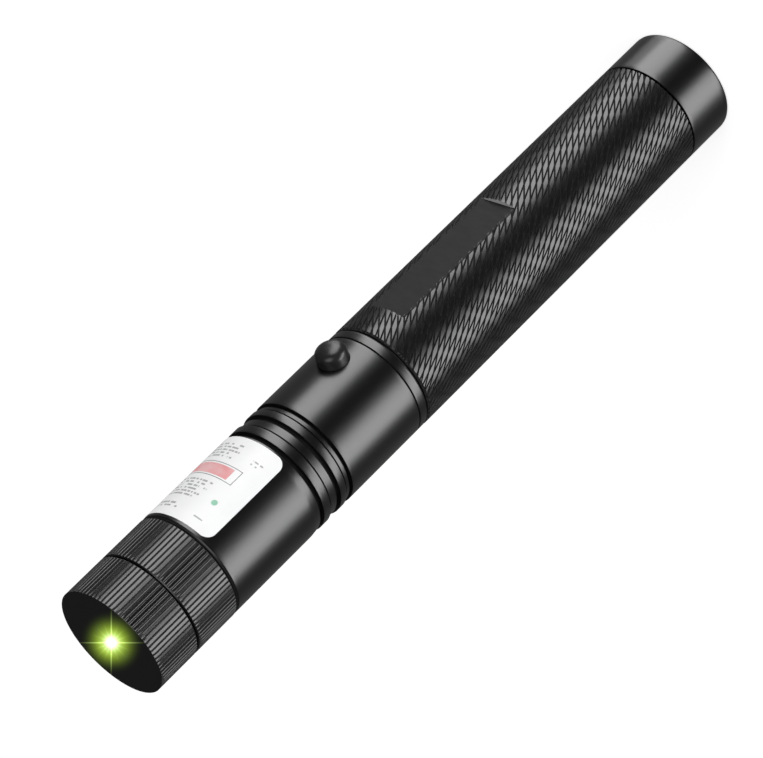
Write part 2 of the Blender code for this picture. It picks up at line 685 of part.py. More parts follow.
def driver_pieces(finishes, body):
    """Round contact board across the bore, upright driver board and the parts on it."""
    turned("contact_board",
           plain_ring(0, HEAD_BORE_RADIUS - FIT, CONTACT_BOARD_LOW, CONTACT_BOARD_HIGH),
           finishes["board"], body)
    half = DRIVER_BOARD_WIDTH / 2
    block("driver_board", (-half, -BOARD_FACE, DRIVER_BOARD_LOW), (half, -BOARD_BACK, DRIVER_BOARD_HIGH),
          finishes["board"], body)
    back = FIT - BOARD_BACK
    chip_low = DRIVER_BOARD_LOW + CHIP_HEIGHT
    block("driver_chip", (-CHIP_WIDTH / 2, back, chip_low),
          (CHIP_WIDTH / 2, back + CHIP_THICKNESS, chip_low + CHIP_LENGTH), finishes["component"], body)
    flange = COIL_FLANGE_THICKNESS
    choke = turned("power_inductor",
                   [(0, 0), (COIL_RADIUS, 0), (COIL_RADIUS, flange), (COIL_WAIST_RADIUS, flange),
                    (COIL_WAIST_RADIUS, COIL_THICKNESS - flange), (COIL_RADIUS, COIL_THICKNESS - flange),
                    (COIL_RADIUS, COIL_THICKNESS), (0, COIL_THICKNESS)],
                   finishes["component"], None, SMALL_SIDES)
    choke.rotation_euler = (math.radians(-90), 0, 0)
    choke.location = (-COIL_OFFSET, back, DRIVER_BOARD_LOW + COIL_HEIGHT + COIL_RADIUS)
    bpy.context.view_layer.update()
    hang(choke, body)
    for i in range(RESISTOR_COUNT):
        z = DRIVER_BOARD_LOW + COIL_HEIGHT + RESISTOR_PITCH * i
        block(f"chip_resistor_{i + 1}", (COIL_OFFSET - RESISTOR_LENGTH / 2, back, z),
              (COIL_OFFSET + RESISTOR_LENGTH / 2, back + RESISTOR_THICKNESS, z + RESISTOR_WIDTH),
              finishes["component"], body)
    coil("contact_spring", CONTACT_SPRING_LOW, CONTACT_SPRING_HIGH, CONTACT_SPRING_TIP_RADIUS,
         CONTACT_SPRING_RADIUS, CONTACT_SPRING_TURNS, finishes["spring"], body)


def module_pieces(finishes, body):
    """Diode-pumped laser module in its heat sink."""
    turned("heat_sink",
           plain_ring(MODULE_RADIUS + FIT, HEAT_SINK_RADIUS, HEAT_SINK_LOW, HEAT_SINK_HIGH),
           finishes["aluminium"], body)
    lip = HEAT_SINK_HIGH - MODULE_LIP_LENGTH
    turned("module_barrel",
           plain_ring(MODULE_CORE_RADIUS, MODULE_RADIUS, HEAT_SINK_LOW, HEAT_SINK_HIGH)[:-1]
           + [(MODULE_LIP_RADIUS, HEAT_SINK_HIGH), (MODULE_LIP_RADIUS, lip), (MODULE_CORE_RADIUS, lip)],
           finishes["brass"], body)
    seat = MODULE_CORE_RADIUS - FIT
    turned("diode_clamp_ring", plain_ring(CLAMP_HOLE_RADIUS, seat, CLAMP_LOW, CLAMP_LOW + CLAMP_THICKNESS),
           finishes["brass"], body)
    can_top = DIODE_FLANGE_HIGH + DIODE_CAN_LENGTH
    turned("pump_diode", [(0, DIODE_LOW), (seat, DIODE_LOW), (seat, DIODE_FLANGE_HIGH),
                          (DIODE_CAN_RADIUS, DIODE_FLANGE_HIGH), (DIODE_CAN_RADIUS, can_top), (0, can_top)],
           finishes["nickel"], body)
    pin_high = DIODE_LOW - FIT
    for i in range(PIN_COUNT):
        angle = math.tau * i / PIN_COUNT + math.pi / 2
        pin = turned(f"diode_pin_{i + 1}", ring_outline(0, PIN_RADIUS, -PIN_LENGTH, 0, PIN_RADIUS / 4),
                     finishes["nickel"], None, PIN_SIDES)
        pin.location = (PIN_CIRCLE_RADIUS * math.cos(angle), PIN_CIRCLE_RADIUS * math.sin(angle), pin_high)
        bpy.context.view_layer.update()
        hang(pin, body)
    turned("crystal_mount", plain_ring(MOUNT_HOLE_RADIUS, seat, MOUNT_LOW, MOUNT_LOW + MOUNT_LENGTH),
           finishes["brass"], body)
    half = CRYSTAL_WIDTH / 2
    block("laser_crystal", (-half, -half, MOUNT_LOW), (half, half, MOUNT_LOW + MOUNT_LENGTH),
          finishes["crystal"], body)
    expander_high = EXPANDER_LOW + EXPANDER_LENGTH
    lens_seat = EXPANDER_LENS_RADIUS + FIT
    holder = plain_ring(EXPANDER_HOLE_RADIUS, seat, EXPANDER_LOW, expander_high)[:-1]
    holder += [(lens_seat, expander_high), (lens_seat, EXPANDER_SEAT),
               (EXPANDER_HOLE_RADIUS, EXPANDER_SEAT)]
    turned("expander_holder", holder, finishes["brass"], body)
    lens_low = EXPANDER_SEAT + FIT
    lens_high = lens_low + EXPANDER_LENS_THICKNESS
    turned("expander_lens",
           [(0, lens_low), (EXPANDER_LENS_RADIUS, lens_low), (EXPANDER_LENS_RADIUS, lens_high),
            (EXPANDER_LENS_RADIUS / 2, lens_high - EXPANDER_LENS_DISH * 3 / 4),
            (0, lens_high - EXPANDER_LENS_DISH)],
           finishes["glass"], body)
    turned("infrared_filter", plain_ring(0, seat, FILTER_LOW, FILTER_LOW + FILTER_THICKNESS),
           finishes["glass"], body)


def lens_outline(radius, low, high, crown):
    """Double-convex lens: two shallow crowns, each r^2 flatter towards the rim."""
    below = []
    above = []
    for i in range(LENS_STEPS + 1):
        share = i / LENS_STEPS
        sink = crown * (1 - share ** 2)
        below.append((radius * share, low + crown - sink))
        above.append((radius * share, high - crown + sink))
    return below + list(reversed(above))


def necked_bar(name, low, high, finish, body):
    """Fluted bar with a plain neck below it, grooved for a sealing ring."""
    bar = fluted_bar(name, low, high, finish, body)
    tip = low - CAP_NECK_LENGTH
    neck = [(0, tip)]
    neck += reversed(neck_wall(CAP_NECK_RADIUS, low, tip, False))
    neck += [(CAP_NECK_RADIUS, low + OVERRUN), (0, low + OVERRUN)]
    join(bar, turned(name + "_neck", neck, None, None, BARREL_SIDES))
    return bar


def focus_ring(finishes, body):
    """Fluted focusing ring: neck into the head, lens seat, and a socket for the cap's neck."""
    seat = FOCUS_SHOULDER + LENS_SEAT_HEIGHT
    ring = necked_bar("focus_ring", FOCUS_SHOULDER, FOCUS_TOP, finishes["anodised"], body)
    low_end = FOCUS_SHOULDER - CAP_NECK_LENGTH - OVERRUN
    high_end = FOCUS_TOP + OVERRUN
    socket = FOCUS_TOP - CAP_NECK_LENGTH
    bore = [(0, low_end), (FOCUS_BORE_RADIUS, low_end), (FOCUS_BORE_RADIUS, seat),
            (LENS_BORE_RADIUS, seat), (LENS_BORE_RADIUS, socket), (HEAD_BORE_RADIUS, socket),
            (HEAD_BORE_RADIUS, high_end), (0, high_end)]
    cut(ring, turned("focus_bore_cutter", bore, None, None, CORE_SIDES))
    lens_radius = LENS_BORE_RADIUS - FIT
    lens_low = seat + FIT
    lens_high = lens_low + LENS_THICKNESS
    turned("focus_lens", lens_outline(lens_radius, lens_low, lens_high, LENS_CROWN),
           finishes["glass"], body)
    retainer_low = lens_high + FIT
    turned("lens_retainer", plain_ring(RETAINER_HOLE_RADIUS, lens_radius, retainer_low,
                                         retainer_low + RETAINER_LENGTH),
           finishes["anodised"], body)


def star_cap(finishes, body):
    """Fluted pattern cap with its window, grating disc and the ring that holds them."""
    cap = necked_bar("star_cap", STAR_SHOULDER, BARREL_TOP, finishes["anodised"], body)
    low_end = STAR_SHOULDER - CAP_NECK_LENGTH - OVERRUN
    high_end = BARREL_TOP + OVERRUN
    lip = BARREL_TOP - STAR_LIP_THICKNESS
    cavity = [(0, low_end), (STAR_BORE_RADIUS, low_end), (STAR_BORE_RADIUS, lip),
              (APERTURE_RADIUS, lip), (APERTURE_RADIUS, high_end), (0, high_end)]
    cut(cap, turned("star_bore_cutter", cavity, None, None, CORE_SIDES))
    radius = STAR_BORE_RADIUS - FIT
    window_high = lip - FIT
    window_low = window_high - WINDOW_THICKNESS
    boss = APERTURE_RADIUS - FIT
    boss_top = BARREL_TOP - WINDOW_BOSS_RECESS
    turned("front_window", [(0, window_low), (radius, window_low), (radius, window_high),
                            (boss, window_high), (boss, boss_top), (0, boss_top)],
           finishes["glass"], body)
    grating_high = window_low - FIT
    grating_low = grating_high - GRATING_THICKNESS
    turned("grating_disc", plain_ring(0, radius, grating_low, grating_high), finishes["film"], body)
    retainer_high = grating_low - FIT
    turned("grating_retainer", plain_ring(GRATING_RETAINER_HOLE_RADIUS, radius,
                                            retainer_high - GRATING_RETAINER_LENGTH, retainer_high),
           finishes["anodised"], body)


def tail_cap(finishes, body):
    """Tail cap: face with the lock's hole, cavity, and the neck into the tube."""
    neck_tip = TAIL_CAP_LENGTH + TUBE_NECK_LENGTH
    outline = [(LOCK_RADIUS + FIT, 0), (BARREL_RADIUS - TAIL_EDGE_BREAK, 0),
               (BARREL_RADIUS, TAIL_EDGE_BREAK), (BARREL_RADIUS, TAIL_CAP_LENGTH - EDGE_BREAK),
               (BARREL_RADIUS - EDGE_BREAK, TAIL_CAP_LENGTH)]
    outline += neck_wall(TUBE_NECK_RADIUS, TAIL_CAP_LENGTH, neck_tip, True)
    outline += [(TUBE_NECK_BORE_RADIUS, neck_tip), (TUBE_NECK_BORE_RADIUS, TAIL_WALL_THICKNESS),
                (LOCK_RADIUS + FIT, TAIL_WALL_THICKNESS)]
    turned("tail_cap", outline, finishes["anodised"], body, BARREL_SIDES)
    seat = TUBE_NECK_BORE_RADIUS - FIT
    turned("lock_nut", plain_ring(LOCK_BODY_RADIUS + FIT, seat, NUT_LOW, NUT_LOW + NUT_LENGTH),
           finishes["brass"], body)
    turned("tail_spacer", plain_ring(seat - SPACER_WALL, seat, SPACER_LOW, TAIL_BOARD_LOW - FIT),
           finishes["fibre"], body)
    turned("tail_board", plain_ring(0, seat, TAIL_BOARD_LOW, TAIL_BOARD_HIGH), finishes["board"], body)
    ring_low = TAIL_BOARD_HIGH + FIT
    turned("board_ring", plain_ring(BOARD_RING_HOLE_RADIUS, seat, ring_low, ring_low + BOARD_RING_LENGTH),
           finishes["brass"], body)
    coil("tail_spring", TAIL_SPRING_LOW, TAIL_SPRING_HIGH, TAIL_SPRING_RADIUS,
         TAIL_SPRING_TIP_RADIUS, TAIL_SPRING_TURNS, finishes["spring"], body)


def lock_barrel(finishes, body):
    """Fixed part of the key lock, held in the tail cap by its flange and nut."""
    body_low = FLANGE_LOW + LOCK_FLANGE_THICKNESS
    turned("lock_barrel",
           [(LOCK_BORE_RADIUS, LOCK_FACE_RECESS), (LOCK_RADIUS, LOCK_FACE_RECESS),
            (LOCK_RADIUS, FLANGE_LOW), (LOCK_FLANGE_RADIUS, FLANGE_LOW), (LOCK_FLANGE_RADIUS, body_low),
            (LOCK_BODY_RADIUS, body_low), (LOCK_BODY_RADIUS, LOCK_TOP), (LOCK_BORE_RADIUS, LOCK_TOP)],
           finishes["nickel"], body)
    half = CONTACT_PAD_WIDTH / 2
    block("contact_pad", (-half, 0, CONTACT_PAD_LOW), (half, LOCK_BODY_RADIUS, CONTACT_PAD_HIGH),
          finishes["brass"], body)


def lock_plug(finishes, body):
    """Turning plug with its keyway, and the contact cam on its inner end."""
    radius = LOCK_BORE_RADIUS - FIT
    plug = turned("lock_plug", plain_ring(0, radius, PLUG_FACE_RECESS, LOCK_TOP), finishes["nickel"], body)
    half_width = KEYWAY_WIDTH / 2
    half_length = KEYWAY_LENGTH / 2
    cut(plug, block("keyway_cutter", (-half_width, -half_length, -OVERRUN),
                    (half_width, half_length, PLUG_FACE_RECESS + KEYWAY_DEPTH), None, None))
    cam = turned("lock_cam", plain_ring(0, LOCK_BORE_RADIUS, CAM_LOW, CAM_LOW + CAM_THICKNESS),
                 finishes["brass"], body)
    join(cam, block("cam_tongue", (-CAM_TONGUE_WIDTH / 2, 0, CAM_LOW),
                    (CAM_TONGUE_WIDTH / 2, LOCK_BORE_RADIUS + CAM_TONGUE_LENGTH, CAM_LOW + CAM_THICKNESS),
                    None, None))


def build():
    """Clear the scene and build every piece on its body."""
    for obj in list(bpy.data.objects):
        bpy.data.objects.remove(obj, do_unlink=True)
    finishes = make_materials()
    rubber = finishes["rubber"]

    tube_body = body_empty("tube_body", 0)
    tail_seal_body = body_empty("tail_seal_body", TAIL_CAP_LENGTH, tube_body)
    tail_body = body_empty("tail_body", TAIL_CAP_LENGTH, tail_seal_body)
    lock_body = body_empty("lock_body", 0, tail_body)
    neck_seal_body = body_empty("neck_seal_body", HEAD_SHOULDER, tube_body)
    head_body = body_empty("head_body", HEAD_SHOULDER, neck_seal_body)
    button_body = body_empty("button_body", BUTTON_AXIS, head_body)
    focus_seal_body = body_empty("focus_seal_body", FOCUS_SHOULDER, head_body)
    focus_body = body_empty("focus_body", FOCUS_SHOULDER, focus_seal_body)
    star_seal_body = body_empty("star_seal_body", STAR_SHOULDER, focus_body)
    star_body = body_empty("star_body", STAR_SHOULDER, star_seal_body)

    battery_tube(finishes["anodised"], tube_body)
    cell_pieces(finishes, tube_body)
    sealing_ring("tail_seal_ring", TUBE_NECK_RADIUS, TAIL_CAP_LENGTH, True, rubber, tail_seal_body)
    tail_cap(finishes, tail_body)
    lock_barrel(finishes, tail_body)
    lock_plug(finishes, lock_body)
    sealing_ring("neck_seal_ring", TUBE_NECK_RADIUS, HEAD_SHOULDER, False, rubber, neck_seal_body)
    head_housing(finishes["anodised"], head_body)
    label(finishes["paper"], head_body)
    driver_pieces(finishes, head_body)
    tact_switch(finishes, head_body)
    module_pieces(finishes, head_body)
    push_button(finishes, button_body)
    sealing_ring("focus_seal_ring", CAP_NECK_RADIUS, FOCUS_SHOULDER, False, rubber, focus_seal_body)
    focus_ring(finishes, focus_body)
    sealing_ring("star_seal_ring", CAP_NECK_RADIUS, STAR_SHOULDER, False, rubber, star_seal_body)
    star_cap(finishes, star_body)


build()
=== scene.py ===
"""The laser pointer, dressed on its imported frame.

Each sub-assembly is a class. Its fields are its sizes in metres and degrees, and its methods build its
pieces as surfaces worked out with numpy, give each a finish and put it on its CAD body. Where a piece stands
is read from its CAD node. Angles round the barrel run from the push button (-Y) towards +X.
"""

import json
import logging
import math
from dataclasses import dataclass, field
from enum import Enum

import bmesh
import bpy
import numpy as np
from mathutils import Matrix, Quaternion, Vector

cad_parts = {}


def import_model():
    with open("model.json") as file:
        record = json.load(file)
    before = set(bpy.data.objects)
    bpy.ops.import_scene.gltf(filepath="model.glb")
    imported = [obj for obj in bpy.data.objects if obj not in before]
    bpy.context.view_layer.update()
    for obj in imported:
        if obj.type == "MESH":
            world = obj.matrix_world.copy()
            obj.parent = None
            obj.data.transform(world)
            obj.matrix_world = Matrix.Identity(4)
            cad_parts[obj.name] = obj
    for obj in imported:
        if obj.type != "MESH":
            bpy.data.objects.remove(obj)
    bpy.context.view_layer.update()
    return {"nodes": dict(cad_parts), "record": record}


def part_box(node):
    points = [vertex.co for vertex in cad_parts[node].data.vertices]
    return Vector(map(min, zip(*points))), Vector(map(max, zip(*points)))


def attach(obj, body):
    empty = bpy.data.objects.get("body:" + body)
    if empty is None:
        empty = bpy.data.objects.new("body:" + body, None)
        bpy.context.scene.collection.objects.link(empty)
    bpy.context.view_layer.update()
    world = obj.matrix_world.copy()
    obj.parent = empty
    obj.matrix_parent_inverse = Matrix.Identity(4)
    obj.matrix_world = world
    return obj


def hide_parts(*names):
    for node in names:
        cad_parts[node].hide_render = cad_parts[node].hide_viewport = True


LOG = logging.getLogger("laser_pointer")
TURN = 2 * math.pi

# Points closer than WELD are one point, and sizes closer than NEAR are the same size
WELD = 1e-7
NEAR = 1e-5

# How far a turned edge is eased, and the sharpest bend that is shaded smooth
EDGE = 0.0001
FINE_EDGE = 0.00003
SMOOTH_BEND = math.radians(28)

# Columns of a plain turned piece and of a small one
ROUND_COLUMNS = 96
SMALL_COLUMNS = 72

# Millimetres in a metre
MILLIMETRES = 1000

Array = np.ndarray
Triple = tuple[float, float, float]
Box = tuple[float, float, float, float]
Socket = bpy.types.NodeSocket


class Body(str, Enum):
    """CAD bodies that the new pieces ride on."""

    TUBE = "tube_body"
    TAIL = "tail_body"
    TAIL_SEAL = "tail_seal_body"
    LOCK = "lock_body"
    NECK_SEAL = "neck_seal_body"
    HEAD = "head_body"
    BUTTON = "button_body"
    FOCUS_SEAL = "focus_seal_body"
    FOCUS = "focus_body"
    STAR_SEAL = "star_seal_body"
    STAR = "star_body"


class Slot(str, Enum):
    """Material slots of the record."""

    ANODISED = "anodised_black"
    ALUMINIUM = "bare_aluminium"
    RUBBER = "black_rubber"
    PLASTIC = "button_plastic"
    LABEL = "label_film"
    GLASS = "coated_glass"
    GRATING = "grating_film"
    BRASS = "turned_brass"
    NICKEL = "nickel_plate"
    STEEL = "spring_steel"
    BOARD = "circuit_board"
    COMPONENT = "component_black"
    SLEEVE = "cell_sleeve"
    FIBRE = "insulating_fibre"
    CRYSTAL = "crystal"


# Finishes


def add_material(name: str) -> bpy.types.Material:
    """Adds a material with a Principled shader.

    Args:
        name: its name.

    Returns:
        The material.
    """
    made = bpy.data.materials.new(name)
    made.use_nodes = True
    return made


class Painter:
    """Adds nodes to one node tree and joins them."""

    # Places of the share and the two values among a Mix node's inputs
    COLOURS = (0, 6, 7)
    NUMBERS = (0, 2, 3)

    # Most of the noise lies between these
    NOISE_SPAN = (0.3, 0.7)

    def __init__(self, tree: bpy.types.NodeTree, shader: str = "Principled BSDF") -> None:
        """Takes the tree and the name of the shader whose sockets own() feeds."""
        self.tree, self.shader = tree, tree.nodes[shader]

    def node(self, kind: str, settings: dict[str, object] | None = None, **inputs: object) -> bpy.types.Node:
        """Adds one node.

        Args:
            kind: the node's type without its ShaderNode prefix.
            settings: attributes set on the node itself.
            inputs: values or sockets for its inputs, by name.

        Returns:
            The new node.
        """
        made = self.tree.nodes.new("ShaderNode" + kind)
        for key, value in (settings or {}).items():
            setattr(made, key, value)
        for key, value in inputs.items():
            self.feed(made.inputs[key], value)
        return made

    def feed(self, socket: Socket, value: object) -> None:
        """Sets a socket to a value, or joins another socket to it.

        Args:
            socket: the input.
            value: a number, colour or output socket.
        """
        if isinstance(value, bpy.types.NodeSocket):
            self.tree.links.new(value, socket)
        else:
            socket.default_value = value

    def own(self, name: str, value: object) -> None:
        """Feeds one of the shader's own sockets, by name."""
        self.feed(self.shader.inputs[name], value)

    def fed(self, kind: str, settings: dict[str, object], values: tuple[object, ...],
            places: tuple[int, ...] = (0, 1, 2, 3, 4)) -> bpy.types.Node:
        """Adds one node and feeds its inputs by their places.

        Args:
            kind: the node's type without its ShaderNode prefix.
            settings: attributes set on the node itself.
            values: values or sockets.
            places: the place of the input that takes each value.

        Returns:
            The new node.
        """
        made = self.node(kind, settings)
        for place, value in zip(places, values):
            self.feed(made.inputs[place], value)
        return made

    def math(self, operation: str, *values: object) -> Socket:
        """A Math node's result for values or sockets in order."""
        return self.fed("Math", {"operation": operation}, values).outputs[0]

    def step(self, value: Socket, low: float, high: float, start: float, end: float) -> Socket:
        """The value mapped from low..high to start..end by a smooth step, level beyond both ends."""
        kind = {"interpolation_type": "SMOOTHSTEP"}
        return self.fed("MapRange", kind, (value, low, high, start, end)).outputs[0]

    def mix(self, share: object, first: object, second: object) -> Socket:
        """The colour between two colours that holds a share of the second."""
        colours = [(*c, 1) if isinstance(c, tuple) else c for c in (first, second)]
        return self.fed("Mix", {"data_type": "RGBA"}, (share, *colours), self.COLOURS).outputs[2]

    def blend(self, share: object, first: object, second: object) -> Socket:
        """The number between two numbers that holds a share of the second."""
        return self.fed("Mix", {"data_type": "FLOAT"}, (share, first, second), self.NUMBERS).outputs[0]

    def left(self, distance: Socket, reach: float) -> Socket:
        """One at no distance, falling in a straight line to nothing at the reach."""
        return self.math("MAXIMUM", self.math("SUBTRACT", 1.0, self.math("DIVIDE", distance, reach)), 0.0)

    def length(self, u: Socket, v: Socket) -> Socket:
        """Length of the vector (u, v)."""
        return self.math("SQRT", self.math("MULTIPLY_ADD", u, u, self.math("MULTIPLY", v, v)))

    def along(self, x: Socket, y: Socket, angle: float, share: float = 1.0) -> Socket:
        """Distance along a direction, x cos a + y sin a, times a share.

        Args:
            x: place along X.
            y: place along Y.
            angle: the direction from +X, in degrees.
            share: what the distance is multiplied by.

        Returns:
            The distance.
        """
        a = math.radians(angle)
        rest = self.math("MULTIPLY", y, math.sin(a) * share)
        return self.math("MULTIPLY_ADD", x, math.cos(a) * share, rest)

    def place(self, stretch: Triple = (1, 1, 1)) -> Socket:
        """Object coordinates in metres, stretched along X, Y and Z."""
        return self.node("Mapping", Vector=self.node("TexCoord").outputs["Object"], Scale=stretch).outputs[0]

    def noise(self, grain: float, stretch: Triple = (1, 1, 1), detail: float = 3) -> Socket:
        """Noise with grains of a size in metres, mostly 0.3 to 0.7."""
        return self.node("TexNoise", Vector=self.place(stretch), Scale=1 / grain, Detail=detail).outputs[0]

    def bump(self, height: Socket, depth: float) -> None:
        """Roughens the shader's normal, where a height of one stands for the depth in metres."""
        self.own("Normal", self.node("Bump", Height=height, Distance=depth).outputs[0])


@dataclass(frozen=True)
class Finish:
    """A plain finish: one colour that wanders a little, and a fine grain."""

    name: str
    colour: Triple
    roughness: float
    metallic: float = 0.0
    ior: float = 1.5
    wander: float = 0.08
    patch: float = 0.0025
    grain: float = 0.00012
    grain_detail: float = 2
    grain_depth: float = 0.000004
    stretch: Triple = (1, 1, 1)

    def material(self) -> bpy.types.Material:
        """The finish's material, made once.

        Returns:
            The material.
        """
        made = bpy.data.materials.get(self.name)
        if made:
            return made
        made = add_material(self.name)
        painter = Painter(made.node_tree)
        painter.own("Metallic", self.metallic)
        painter.own("IOR", self.ior)
        self.paint(painter)
        painter.bump(painter.noise(self.grain, self.stretch, self.grain_detail), self.grain_depth)
        return made

    def patches(self, painter: Painter) -> Socket:
        """Soft patches from 0 to 1, of the finish's patch size."""
        return painter.step(painter.noise(self.patch, self.stretch), *painter.NOISE_SPAN, 0, 1)

    def spread(self) -> tuple[Triple, Triple]:
        """The colour's dark and light ends."""
        return (tuple(c * (1 - self.wander) for c in self.colour),
                tuple(min(1.0, c * (1 + self.wander)) for c in self.colour))

    def satin(self, painter: Painter, patches: Socket) -> Socket:
        """Roughness that wanders with the patches."""
        low = self.roughness * (1 - self.wander)
        return painter.math("MULTIPLY_ADD", patches, 2 * self.wander * self.roughness, low)

    def paint(self, painter: Painter) -> None:
        """Colour and roughness that wander with the patches.

        Args:
            painter: the material's painter.
        """
        patches = self.patches(painter)
        painter.own("Base Color", painter.mix(patches, *self.spread()))
        painter.own("Roughness", self.satin(painter, patches))


@dataclass(frozen=True)
class Anodised(Finish):
    """Black oxide on aluminium: satin over a dyed black; where the groove attribute says so it turns matt and
    its colour is painted darker as shade.
    """

    colour: Triple = (0.0010, 0.0010, 0.0011)
    roughness: float = 0.296
    ior: float = 1.77
    wander: float = 0.05
    patch: float = 0.0006
    grain: float = 0.00009
    grain_depth: float = 0.0000007
    groove_shade_colour: Triple = (0.0005, 0.0005, 0.0005)
    groove_roughness: float = 0.95

    def paint(self, painter: Painter) -> None:
        """The dye's black, turned matt and painted darker as shade by the groove attribute.

        Args:
            painter: the material's painter.
        """
        patches = self.patches(painter)
        groove = painter.node("Attribute", {"attribute_name": "groove"}).outputs["Fac"]
        dyed = painter.mix(patches, *self.spread())
        # Painted shade: the groove attribute darkens the colour in grooves, seams and gaps.
        painter.own("Base Color", painter.mix(groove, dyed, self.groove_shade_colour))
        matter = self.groove_roughness - self.roughness
        painter.own("Roughness", painter.math("MULTIPLY_ADD", groove, matter, self.satin(painter, patches)))


@dataclass(frozen=True)
class Glow:
    """The light in the front window: a white-hot core, a yellow-green halo and a star of thin rays.

    The halo and the rays are painted glow, which stands in for the light's bloom and star; they lie on the
    face in an oval stretched the way the camera sees the face foreshortened, and the long rays are turned to
    run level and upright in the camera's view. Lengths are across the oval, and the long way they are worth
    the stretch.
    """

    long_way: float = 224.0
    stretch: float = 2.5
    core_radius: float = 0.0019
    warm_radius: float = 0.0030
    halo_radius: float = 0.0062
    halo_strength: float = 2.6
    halo_fade: float = 3.55
    ray_length: float = 0.0066
    ray_width: float = 0.00017
    ray_strength: float = 1.6
    long_rays: tuple[float, ...] = (43.1, 137.7)
    short_rays: tuple[float, ...] = (1.0, 22.0, 66.0, 90.0, 114.0, 159.0)
    short_share: float = 0.62
    short_strength: float = 0.48
    core_colour: Triple = (0.92, 1.0, 0.88)
    warm_colour: Triple = (0.74, 1.0, 0.30)
    halo_colour: Triple = (0.62, 0.94, 0.07)
    least_light: float = 0.001

    def shine(self, painter: Painter, shown: Socket | None = None) -> None:
        """Emission from the place (u, v) in the oval's own frame, r being its distance from the axis.

        The halo is (1 - r / R) to a power, and the colour steps smoothly from the core's to the halo's.

        Args:
            painter: the painter of the material that glows.
            shown: one where the surface glows and nothing elsewhere, if it doesn't glow all over.
        """
        x, y, _ = painter.node("SeparateXYZ", Vector=painter.place()).outputs
        u = painter.along(x, y, self.long_way, 1 / self.stretch)
        v = painter.along(x, y, self.long_way + 90)
        r = painter.length(u, v)
        halo = painter.math("POWER", painter.left(r, self.halo_radius), self.halo_fade)
        halo = painter.math("MULTIPLY", halo, self.halo_strength)
        rays = self.rays(painter, u, v, r)
        strength = painter.math("ADD", halo, rays)
        warm, core = (painter.step(r, 0.0, reach, 1.0, 0.0) for reach in (self.warm_radius, self.core_radius))
        colour = painter.mix(core, painter.mix(warm, self.halo_colour, self.warm_colour), self.core_colour)
        rays_share = painter.math("DIVIDE", rays, painter.math("ADD", strength, self.least_light))
        painter.own("Emission Color", painter.mix(rays_share, colour, self.warm_colour))
        painter.own("Emission Strength", painter.math("MULTIPLY", strength, shown) if shown else strength)

    def rays(self, painter: Painter, u: Socket, v: Socket, r: Socket) -> Socket:
        """Brightness of the star: each ray is a thin line through the axis that fades as (1 - r / L)^2.

        Args:
            painter: the painter.
            u: place the long way of the oval.
            v: place across it.
            r: distance from the axis.

        Returns:
            The brightness.
        """
        total = 0.0
        for angles, share, strength in ((self.long_rays, 1.0, self.ray_strength),
                                        (self.short_rays, self.short_share, self.short_strength)):
            fade = painter.math("POWER", painter.left(r, self.ray_length * share), 2.0)
            for angle in angles:
                line = painter.left(painter.math("ABSOLUTE", painter.along(u, v, angle + 90)), self.ray_width)
                total = painter.math("MULTIPLY_ADD", painter.math("MULTIPLY", line, fade), strength, total)
        return total


@dataclass(frozen=True)
class LitAnodised(Anodised):
    """The black of the pattern cap, with the window's glow painted on its front face alone as emission."""

    glow: Glow = Glow()
    face_height: float = 0.16485

    def paint(self, painter: Painter) -> None:
        """The black oxide, and on the front face the painted glow.

        Args:
            painter: the material's painter.
        """
        super().paint(painter)
        height = painter.node("SeparateXYZ", Vector=painter.place()).outputs[2]
        # Painted glow: emission on the front face that stands in for the light's bloom and star.
        self.glow.shine(painter, painter.math("GREATER_THAN", height, self.face_height))


@dataclass(frozen=True)
class LitGlass(Finish):
    """Dark coated glass of the front window, with the glow painted in it as emission."""

    glow: Glow = Glow()
    coat: float = 0.6
    coat_roughness: float = 0.05

    def paint(self, painter: Painter) -> None:
        """The dark glass with the painted glow in it.

        Args:
            painter: the material's painter.
        """
        super().paint(painter)
        painter.own("Coat Weight", self.coat)
        painter.own("Coat Roughness", self.coat_roughness)
        self.glow.shine(painter)


@dataclass(frozen=True)
class Glass(Finish):
    """Clear glass or film with a faint tint."""

    clearness: float = 0.9

    def paint(self, painter: Painter) -> None:
        """The tint, and light let through it."""
        super().paint(painter)
        painter.own("Transmission Weight", self.clearness)


